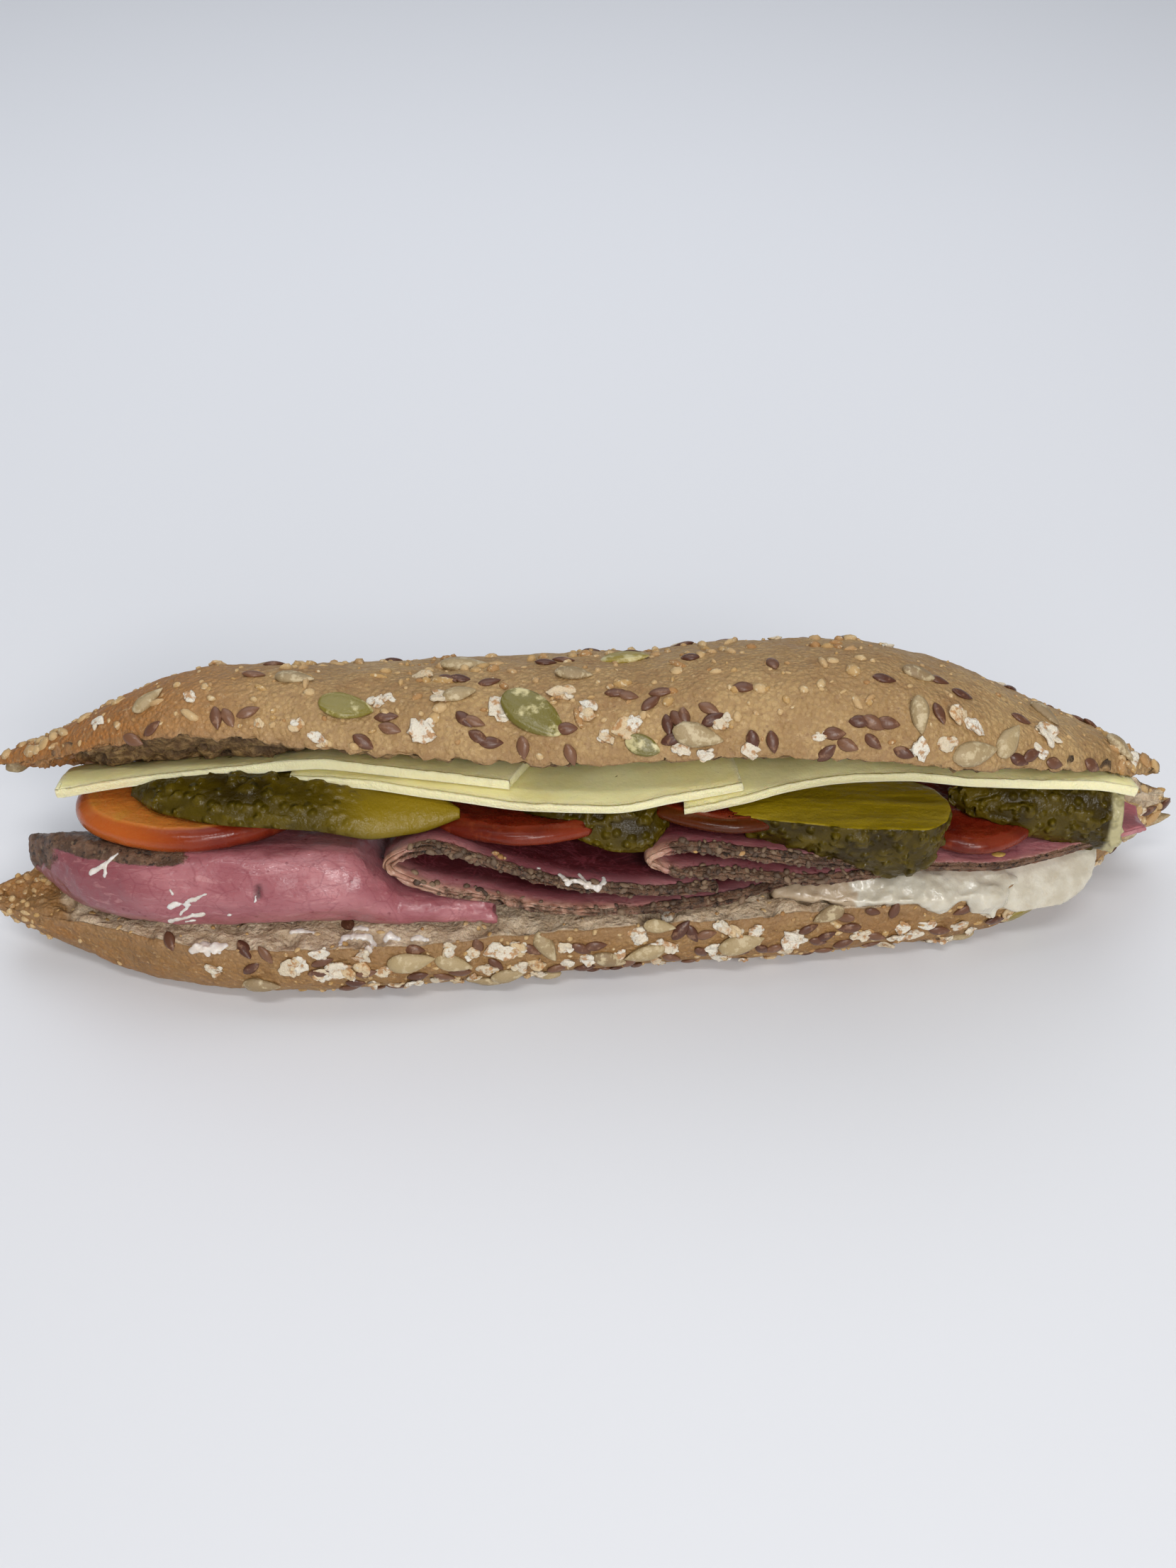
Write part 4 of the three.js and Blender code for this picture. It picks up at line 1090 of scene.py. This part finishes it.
def strewn(kind, places, paint, seed):
    """One mesh of all seeds of a kind. A place is a point, the way out, the way along and a size factor."""
    make, size, spread, uneven, raised, ragged = KINDS[kind]
    base, base_faces = make()
    dice = np.random.default_rng(seed)
    if kind == "oat_flakes":
        places = [shard for place in places for shard in shards(place, dice)]
    all_points, all_faces, tones = [], [], []
    for k, (at, out, along, factor) in enumerate(places):
        out = unit(np.array(out, float))
        along = unit(np.array(along, float) - out * np.dot(along, out))
        across = np.cross(out, along)
        scale = np.array(size) * factor * np.exp(spread * dice.normal(size=3) * (0.6, 0.6, 0.5))
        body = base * scale
        body[:, :2] *= 1 + ragged * rough(body * (1, 1, 0.2), 1.6, 2, 5.3 * k)[:, None]
        body = body + normals_of(body, base_faces) * (uneven * 0.35 * rough(body, 1.8, 3, 9.1 * k))[:, None]
        placed = at + body[:, :1] * along + body[:, 1:2] * across + (body[:, 2:] + raised * scale[2]) * out
        placed[:, 2] = np.maximum(placed[:, 2], OFF_FLOOR)
        all_faces.append(base_faces + len(base) * k)
        all_points.append(placed)
        tones.append(np.full(len(base), dice.random()))
    points, faces = np.concatenate(all_points), np.concatenate(all_faces)
    mesh_object(kind, points, faces, paint, {"tone": np.concatenate(tones)})


def ray(u, v):
    """The way from the camera through a place of the picture, in its pixels from the upper left corner."""
    focal = PICTURE[1] * LENS / SENSOR
    side, down = (u - PICTURE[0] / 2) / focal, (v - PICTURE[1] / 2) / focal
    return unit(AHEAD + np.array((side, 0, 0)) - down * ABOVE)


def seen(tree, places, dice):
    """Where the camera sees (u, v), (u, v, angle) or (u, v, angle, size) on a surface, angles clockwise."""
    found = []
    for u, v, *rest in places:
        hit, out, _, _ = tree.ray_cast(Vector(EYE), Vector(ray(u, v)))
        if hit is None:
            continue
        angle = math.radians(rest[0]) if rest else dice.uniform(-1.2, 1.2)
        factor = rest[1] if len(rest) > 1 else 1.0
        along = np.array((math.cos(angle), 0, 0)) - math.sin(angle) * ABOVE
        found.append((np.array(hit), np.array(out), along, factor))
    return found


def of_faces(piece, name, width):
    values = np.empty(len(piece.data.polygons) * width)
    piece.data.polygons.foreach_get(name, values)
    return values.reshape(-1, width)


def scattered(piece, count, dice, allowed, spacing, taken, factor=1.0):
    """Random places on a piece where the rule allows them, each at least a spacing from those taken."""
    normal, middle = of_faces(piece, "normal", 3), of_faces(piece, "center", 3) / MM
    weight = of_faces(piece, "area", 1)[:, 0] * allowed(middle, normal)
    tries = min(count * 6, np.count_nonzero(weight))
    order = dice.choice(len(weight), size=tries, replace=False, p=weight / weight.sum())
    found = []
    for i in order:
        if len(found) == count:
            break
        near = np.array(taken).reshape(-1, 3)
        if len(near) and (np.linalg.norm(near - middle[i], axis=1) < spacing).any():
            continue
        taken.append(middle[i])
        along = dice.normal(size=3) * (1.5, 1, 0.6)
        found.append((middle[i], normal[i], along, factor * dice.uniform(0.85, 1.15)))
    return found


def far_side(middle, normal):
    """One where the camera can't see a crust, and a little where it can."""
    away = (normal * (EYE - middle)).sum(axis=1) / np.linalg.norm(EYE - middle, axis=1)
    return smooth(0.15, -0.2, away)


def upper_skin(middle, normal):
    """True on the outside of the upper half, above the rim of its torn face."""
    out = middle - top_point(middle[:, 0], 0, 4)
    return ((normal * out).sum(axis=1) > 0) * (middle[:, 2] > lid_height(middle[:, 0], middle[:, 1]) + 1.5)


def lower_skin(middle, normal):
    """1 on the sides of the lower half, between its flat underside and its torn face, and 0 elsewhere."""
    x, _, z = middle.T
    return ((z > 2.5) & (z < cut_height(x) - 0.6) & (np.abs(normal[:, 2]) < 0.97)).astype(float)


def lower_ledge(middle, normal):
    """True on the front of the lower half's torn face."""
    return (normal[:, 2] > 0.6) * (middle[:, 2] > 15.5) * (middle[:, 1] < -12)


def smeared(name, runs, tree, paint, dice):
    """Thin smears made of flattened balls along each run, melted together on the surface they lie on."""
    ball_points, ball_faces = ball(10, 7)
    all_points, all_faces = [], []
    for run in runs:
        for (u0, v0, r0), (u1, v1, r1) in zip(run, run[1:]):
            steps = max(2, int(math.hypot(u1 - u0, v1 - v0) / 2))
            for t in np.arange(steps + 1) / steps:
                for at, out, along, _ in seen(tree, [(mix(u0, u1, t), mix(v0, v1, t), 0)], dice):
                    along = unit(along - out * np.dot(along, out))
                    wide = 1.1 * mix(r0, r1, t) * dice.uniform(0.75, 1.2)
                    body = 2 * ball_points * (wide, wide, 0.2 + 0.3 * wide)
                    body = body + dice.normal(size=3) * (0.16, 0.16, 0.03) * wide
                    turned = body[:, :1] * along + body[:, 1:2] * np.cross(out, along) + body[:, 2:] * out
                    all_faces.extend([len(all_points) + i for i in face] for face in ball_faces.tolist())
                    all_points.extend(at + turned)
    points, faces = melted(all_points, all_faces, FINE_GRAIN, 9)
    mesh_object(name, points, faces, paint, {})


# Where the picture shows things

# Seeds, as (u, v, angle, size) in its pixels, on the upper half and on the lower
TOP_PUMPKINS = [(487, 998, 8, 0.95), (752, 1008, 38, 1.22), (882, 930, 0, 0.85), (907, 1052, 20, 0.62)]
TOP_KERNELS = [
    (415, 958, 30), (210, 990, -60), (648, 980, -20), (657, 940, -5, 1.2), (810, 952, 10),
    (985, 1038, 12, 1.15), (1297, 953, 5), (1297, 1010, 88, 0.95), (1375, 1063, -10, 1.2),
    (1422, 1046, -50, 1.15), (1473, 1008, 88), (1447, 972, 35), (1520, 1008, 60), (1578, 1056, 70),
]
TOP_LINSEEDS = [
    (387, 938), (358, 952), (305, 1013, 80), (322, 1013, 60), (350, 1005, -25), (215, 1028), (188, 1044, 20),
    (513, 1047), (545, 1012, 0), (550, 1028, 15), (632, 958, 60), (650, 958, 15), (690, 963),
    (655, 1015, 50), (668, 1018, 20), (675, 1040, 30), (693, 1048, 0), (738, 1055, 85), (800, 1028, 0),
    (805, 1065, 70), (870, 978, 0), (886, 982, 20), (918, 992, -50), (933, 977, -5), (942, 1023, 80),
    (955, 1015, 60), (965, 1015, 85), (1000, 1000, 30), (1005, 1015, -30), (950, 1042, -20), (975, 928, 0),
    (1090, 937, 85), (1050, 970, 0), (1062, 1045, 80), (1090, 1047, 80), (1166, 1062), (1177, 1035, 0),
    (1195, 1051, 20), (1214, 1018, 0), (1232, 1020, 30), (1253, 1020, 10), (1231, 1046, 40), (1247, 958, 10),
    (1323, 960, 10), (1357, 980, 0), (1325, 1007, 80), (1275, 1062, 20), (1440, 1015, 10), (1437, 1072, 20),
    (1455, 1065, -20), (1487, 1077, 10), (1540, 1080, 20), (770, 935, 0), (795, 932, 10),
]
TOP_OATS = [
    (533, 990, 30), (547, 985, -40, 0.8), (594, 1030, 75, 1.5), (595, 955, 0), (618, 982, 0, 1.2),
    (706, 1002, 80, 1.6), (718, 990, 20, 0.9), (793, 978, 0, 1.2), (828, 995, 40), (830, 1010, 0, 0.9),
    (880, 1030, 0, 1.2), (893, 1020, 60), (855, 1040, 20, 0.8), (962, 1057, 10), (995, 1065, 0, 0.8),
    (1021, 1020, 0), (1060, 1060, 20), (1157, 1040, 0, 0.7), (1297, 1057, 70, 1.2), (1334, 1049, 0),
    (1352, 1010, 30, 1.1), (1375, 1025, 10, 1.1), (1467, 1062, 0, 0.9), (1477, 1036, 60, 1.4),
    (1470, 1028, 0), (268, 984, 30, 0.8), (365, 1020, 20, 0.6), (420, 1025, 0, 0.8), (450, 1042, 30),
    (930, 915, 10), (140, 1020, 30, 0.9), (1600, 1070, 30, 0.8),
]
LOW_PUMPKINS = [(1440, 1283, 10, 0.9)]
LOW_KERNELS = [
    (580, 1355, -10, 1.3), (640, 1358, 20, 1.1), (770, 1335, 60), (370, 1388, 10), (930, 1306, 10, 0.9),
    (1047, 1330, -20, 1.2), (860, 1352, 30),
]
LOW_LINSEEDS = [
    (240, 1328), (345, 1340), (375, 1347), (355, 1365), (455, 1357), (450, 1372), (517, 1372), (502, 1386),
    (627, 1377), (675, 1334), (750, 1339), (820, 1338), (840, 1334), (825, 1364), (976, 1316), (996, 1318),
    (989, 1342), (947, 1350), (1140, 1310), (1165, 1320), (1154, 1327), (1235, 1320), (1325, 1312),
    (585, 1340), (1190, 1330), (1075, 1338), (905, 1345), (700, 1360),
]
LOW_OATS = [
    (302, 1367, 20), (415, 1365, -20, 1.35), (425, 1360, 50, 0.9), (480, 1366, 20, 1.3),
    (492, 1372, 80, 1.0), (542, 1369, 0), (615, 1380, 20), (635, 1336, 0, 1.1), (708, 1341, -10, 1.4),
    (728, 1337, 60, 1.1), (690, 1368, 20), (735, 1362, -10), (800, 1357, 0, 0.8), (830, 1353, 0),
    (875, 1347, 20, 0.9), (900, 1318, 0, 1.3), (945, 1334, 10), (1005, 1337, 0), (1020, 1306, 20),
    (1037, 1313, 60), (1065, 1314, 0), (1110, 1338, 0), (1117, 1325, 10, 1.5), (1215, 1319, 0),
    (1275, 1308, 20), (1287, 1317, 0), (450, 1346, 0, 0.9), (560, 1388, 0, 0.8), (760, 1372, 10, 0.9),
    (925, 1352, 0),
]
# Smears of dressing, each a run of (u, v, half width in millimetres)
SMEARS = [
    [(271, 1341, 0.9), (286, 1336, 1.3), (303, 1337, 1.2), (318, 1334, 0.8)],
    [(290, 1337, 0.9), (292, 1346, 0.8)], [(303, 1337, 1.0), (310, 1344, 0.6)],
    [
        (480, 1333, 0.8), (487, 1323, 0.7), (505, 1320, 0.8), (521, 1324, 0.8), (528, 1334, 0.8),
        (520, 1341, 0.9),
    ],
    [(543, 1324, 0.7), (552, 1321, 0.9), (562, 1325, 0.6)],
    [(411, 1315, 0.5), (426, 1313, 0.8), (443, 1316, 0.5)],
    [(497, 1312, 0.5), (508, 1309, 0.8), (519, 1311, 0.5)],
    [(581, 1325, 0.6), (592, 1323, 0.8), (603, 1326, 0.5)],
]
BEEF_SMEARS = [
    [(166, 1204, 0.4), (158, 1211, 0.5), (148, 1219, 0.5), (137, 1226, 0.6), (128, 1232, 0.8)],
    [(148, 1219, 0.45), (149, 1228, 0.45), (148, 1236, 0.5)], [(240, 1256, 0.45), (243, 1260, 0.5)],
    [(238, 1280, 0.7), (246, 1276, 0.8), (254, 1275, 0.6)],
    [(262, 1276, 0.6), (268, 1270, 0.6), (280, 1266, 0.5), (291, 1261, 0.35)],
    [(254, 1290, 0.4), (268, 1276, 0.4)],
    [(240, 1299, 0.8), (249, 1297, 0.7), (261, 1295, 0.5), (273, 1291, 0.6), (286, 1290, 0.7)],
    [(262, 1300, 0.4), (275, 1298, 0.4)], [(322, 1291, 0.4), (325, 1290, 0.4)],
    [(360, 1272, 0.4), (361, 1264, 0.3)],
    [(791, 1235, 0.6), (801, 1244, 0.8), (817, 1243, 0.7), (828, 1249, 0.8), (846, 1253, 0.8)],
    [(817, 1234, 0.5), (826, 1243, 0.6)], [(851, 1239, 0.6), (853, 1245, 0.7), (842, 1251, 0.7)],
    [(759, 1225, 0.4), (762, 1226, 0.4)],
]
TOMATO_SEEDS = [(1410, 1205, -20)]
FILLING_CRUMBS = [(700, 1205, 0, 1.4), (706, 1209, 50, 1.5), (712, 1211, 0, 1.1), (981, 1202), (1047, 1204)]
# Drips and threads of dressing: x, y, z, half sizes along, across and up, and the turn about Z
DRIPS = [
    (91, -20.4, 17.6, 5.6, 3.0, 2.4, 0.2), (93, -22.0, 14.6, 2.2, 1.9, 2.7, 0.0),
    (82, -22.6, 19.2, 4.4, 2.6, 1.7, 0.1), (73, -23.0, 19.6, 4.6, 2.4, 1.6, -0.1),
    (64, -23.6, 20.6, 5.0, 2.0, 1.2, 0.0), (54, -23.2, 21.0, 4.0, 1.8, 1.0, 0.1),
    (86, -18.6, 21.6, 5.0, 2.6, 1.5, 0.3), (76, -19.8, 22.0, 4.4, 2.2, 1.4, 0.1),
    (97, -17.0, 20.6, 5.2, 3.0, 1.8, 0.4),
]

# The part

crust = crust_paint()
cheese, beef, tomato, pickle = cheese_paint(), beef_paint(), tomato_paint(), pickle_paint()
white = dressing_paint("dressing", (0.53, 0.475, 0.37), (0.63, 0.585, 0.48))
bright = dressing_paint("smear", (0.66, 0.57, 0.49), (0.80, 0.74, 0.67))

for node in ("cheese_1", "cheese_2", "cheese_3"):
    cheese_slice(node, cheese)
for node in ("pickle_3", "pickle_4"):
    gherkin(node, pickle)
folded_beef("beef_2", beef)
first_beef(beef)
folded_beef("beef_3", beef)
beef_leaf(beef)
for node in ("pickle_1", "pickle_2"):
    gherkin(node, pickle)
for node in TOMATOES:
    tomato_slice(node, tomato)

low = [piece for piece in made if not piece.name.startswith("cheese")]
lower = half_roll("roll_lower", (-138, 141), bottom_crust, lower_crumb, "bread_bottom", crust, low, -1, 1.0)
upper = half_roll("roll_upper", (-136, 132), top_crust, upper_crumb, "bread_top", crust, made, 1, 1.7)
dressing(white, made)

dice = np.random.default_rng(5)
upper_tree, lower_tree = tree_of(upper), tree_of(lower)


def placed(upper_list, lower_list, behind_upper, behind_lower, front_lower, spacing):
    """Seeds where the picture shows them, and more behind each half and on the front of the lower half."""
    found = seen(upper_tree, upper_list, dice) + seen(lower_tree, lower_list, dice)
    taken.extend(f[0] for f in found)
    for piece, count, rule in (
        (upper, behind_upper, lambda m, n: upper_skin(m, n) * far_side(m, n)),
        (lower, behind_lower, lambda m, n: lower_skin(m, n) * far_side(m, n) * (m[:, 0] > -70)),
        (lower, front_lower, lambda m, n: lower_skin(m, n) * (m[:, 0] > -62) * (n[:, 1] < 0)),
    ):
        found += scattered(piece, count, dice, rule, spacing, taken)
    return found


taken = []
pumpkins = placed(TOP_PUMPKINS, LOW_PUMPKINS, 2, 1, 0, 9.0)
kernels = placed(TOP_KERNELS, LOW_KERNELS, 14, 14, 8, 6.0)
oats = placed(TOP_OATS, LOW_OATS, 26, 32, 44, 3.0)
linseeds = placed(TOP_LINSEEDS, LOW_LINSEEDS, 46, 44, 42, 2.7)

# Small grains: the piece, how many, where on it, how far apart and how large
bits = []
for piece, count, rule, spacing, factor in (
    (upper, 420, upper_skin, 1.2, 0.8),
    (upper, 110, lambda m, n: upper_skin(m, n) * (n[:, 2] > 0.8) * (np.abs(m[:, 0] - 90) > 30), 2.0, 1.8),
    (upper, 90, lambda m, n: upper_skin(m, n) * (np.abs(m[:, 0]) > 117), 1.5, 1.9),
    (lower, 110, lambda m, n: (m[:, 2] > 2) * (m[:, 0] < -124), 1.0, 1.2),
    (lower, 60, lambda m, n: (m[:, 2] > 2) * (m[:, 0] > 122), 1.5, 1.8),
    (lower, 520, lambda m, n: lower_skin(m, n) * mix(0.15, 1, smooth(-75, -50, m[:, 0])), 1.0, 0.9),
):
    bits += scattered(piece, count, dice, rule, spacing, [], factor)
bits += seen(tree_of(*made), FILLING_CRUMBS, dice)
bits += scattered(lower, 160, dice, lower_ledge, 1.5, [], 0.7)

green = seed_paint("pumpkin_seed", [(0.13, 0.107, 0.012), (0.20, 0.16, 0.02), (0.30, 0.22, 0.03)],
                   (0.60, 0.52, 0.26), 4.5, 0.5, 0.28, 0.15, 0.8, coat=(0.15, 0.25))
grey = seed_paint("sunflower_kernel", [(0.26, 0.175, 0.085), (0.36, 0.26, 0.13), (0.42, 0.31, 0.155)],
                  (0.56, 0.45, 0.27), 2.0, 0.5, 0.38, 0.2, 0.5)
flake = seed_paint("oat_flake", [(0.72, 0.60, 0.43), (0.84, 0.77, 0.64), (0.70, 0.52, 0.30)],
                   (0.47, 0.22, 0.065), 2.0, 0.5, 0.6, 0.6, 0.5, soft=(0.15, (1.0, 0.8, 0.5), 0.001))
flax = seed_paint("linseed", [(0.085, 0.030, 0.016), (0.125, 0.050, 0.025), (0.18, 0.083, 0.042)],
                  (0.24, 0.125, 0.07), 1.6, 0.54, 0.3, 0.05, 0.4, specular=0.3, coat=(0.18, 0.15))
golden = seed_paint("crumb_bit", [(0.46, 0.27, 0.09), (0.56, 0.38, 0.18), (0.38, 0.19, 0.06)],
                    (0.70, 0.58, 0.38), 0.8, 0.55, 0.6, 0.2, 0.4)

strewn("pumpkin_seeds", pumpkins, green, 31)
strewn("sunflower_kernels", kernels, grey, 32)
strewn("oat_flakes", oats, flake, 33)
strewn("linseeds", linseeds, flax, 34)
strewn("crumbs", bits, golden, 35)

beef_tree = tree_of(*[piece for piece in made if piece.name.startswith("beef")])
smeared("smears", SMEARS, lower_tree, bright, dice)
smeared("beef_smears", BEEF_SMEARS, beef_tree, bright, dice)

pepper = []
for node in FOLDS:
    slice_made, = [piece for piece in made if piece.name.startswith(node)]
    nose = shape_of(slice_made)[:, 0].min()

    def on_rim(m, n):
        front = m[:, 1] < FOLDS[node]["front"](m[:, 0]) + 2.0
        return front * smooth(nose + 5, nose + 12, m[:, 0]) * mix(0.3, 1, smooth(27, 31, m[:, 2]))

    pepper += scattered(slice_made, 150, dice, on_rim, 1.1, [])
dark = seed_paint("pepper_bit", [(0.07, 0.04, 0.024), (0.13, 0.08, 0.046), (0.22, 0.14, 0.08)],
                  (0.05, 0.03, 0.02), 0.9, 0.58, 0.55, 0.15, 0.4)
strewn("pepper", pepper, dark, 36)
pips = seed_paint("tomato_seed", [(0.55, 0.33, 0.07), (0.62, 0.42, 0.12), (0.50, 0.27, 0.04)],
                  (0.70, 0.52, 0.22), 1.5, 0.55, 0.25, 0.1, 0.4, coat=(0.3, 0.08))
strewn("tomato_seeds", seen(tree_of(*made), TOMATO_SEEDS, dice), pips, 37)

# The floor, the light and the camera

floor_mesh = bpy.data.meshes.new("floor")
corners = [(3 * x, 3 * y, FLOOR_AT * MM) for x, y in ((-1, -1), (1, -1), (1, 1), (-1, 1))]
floor_mesh.from_pydata(corners, [], [(0, 1, 2, 3)])
pale = Paint("floor")
# Painted light: the floor is painted lighter towards the back and darker towards the front.
pale_colour = pale.mix(pale.step(pale.axis("Y"), -150, 500), (0.73, 0.735, 0.76), (0.90, 0.91, 0.95))
floor_mesh.materials.append(pale.finish(pale_colour, 0.6, pale.bump(pale.noise(4), 0.02)))
floor = bpy.data.objects.new("floor", floor_mesh)
bpy.context.scene.collection.objects.link(floor)

world = bpy.data.worlds.new("sky")
world.use_nodes = True
world.node_tree.nodes["Background"].inputs["Color"].default_value = (0.88, 0.93, 1.0, 1)
world.node_tree.nodes["Background"].inputs["Strength"].default_value = 0.2
bpy.context.scene.world = world


def lamp(name, at, size, watts, colour, height=None):
    """A soft lamp, square unless it has a height, that faces the middle of the part, in metres."""
    light = bpy.data.lights.new(name, "AREA")
    light.size = size
    if height is not None:
        light.shape = "RECTANGLE"
        light.size_y = height
    light.energy = watts
    light.color = colour
    holder = bpy.data.objects.new(name, light)
    holder.location = at
    holder.rotation_euler = (Vector((0, 0, 0.03)) - Vector(at)).to_track_quat("-Z", "Y").to_euler()
    bpy.context.scene.collection.objects.link(holder)


lamp("window", (0.28, -0.82, 0.72), 0.35, 5.2, (1.0, 0.98, 0.96))
lamp("front", (0.1, -1.1, 0.42), 0.6, 3.0, (1.0, 0.99, 0.97))
lamp("strip", (-0.05, -0.45, 1.0), 0.5, 2.6, (1.0, 1.0, 1.0), 0.07)
lamp("room", (-0.1, 0.55, 1.1), 1.2, 7.0, (0.93, 0.96, 1.0))
bpy.context.scene.view_settings.view_transform = "Standard"

lens = bpy.data.cameras.new("camera")
lens.lens = LENS
lens.sensor_fit = "VERTICAL"
lens.sensor_height = SENSOR
camera = bpy.data.objects.new("camera", lens)
camera.location = EYE * MM
camera.rotation_euler = (math.pi / 2 - ELEVATION, 0, 0)
bpy.context.scene.collection.objects.link(camera)
bpy.context.scene.camera = camera
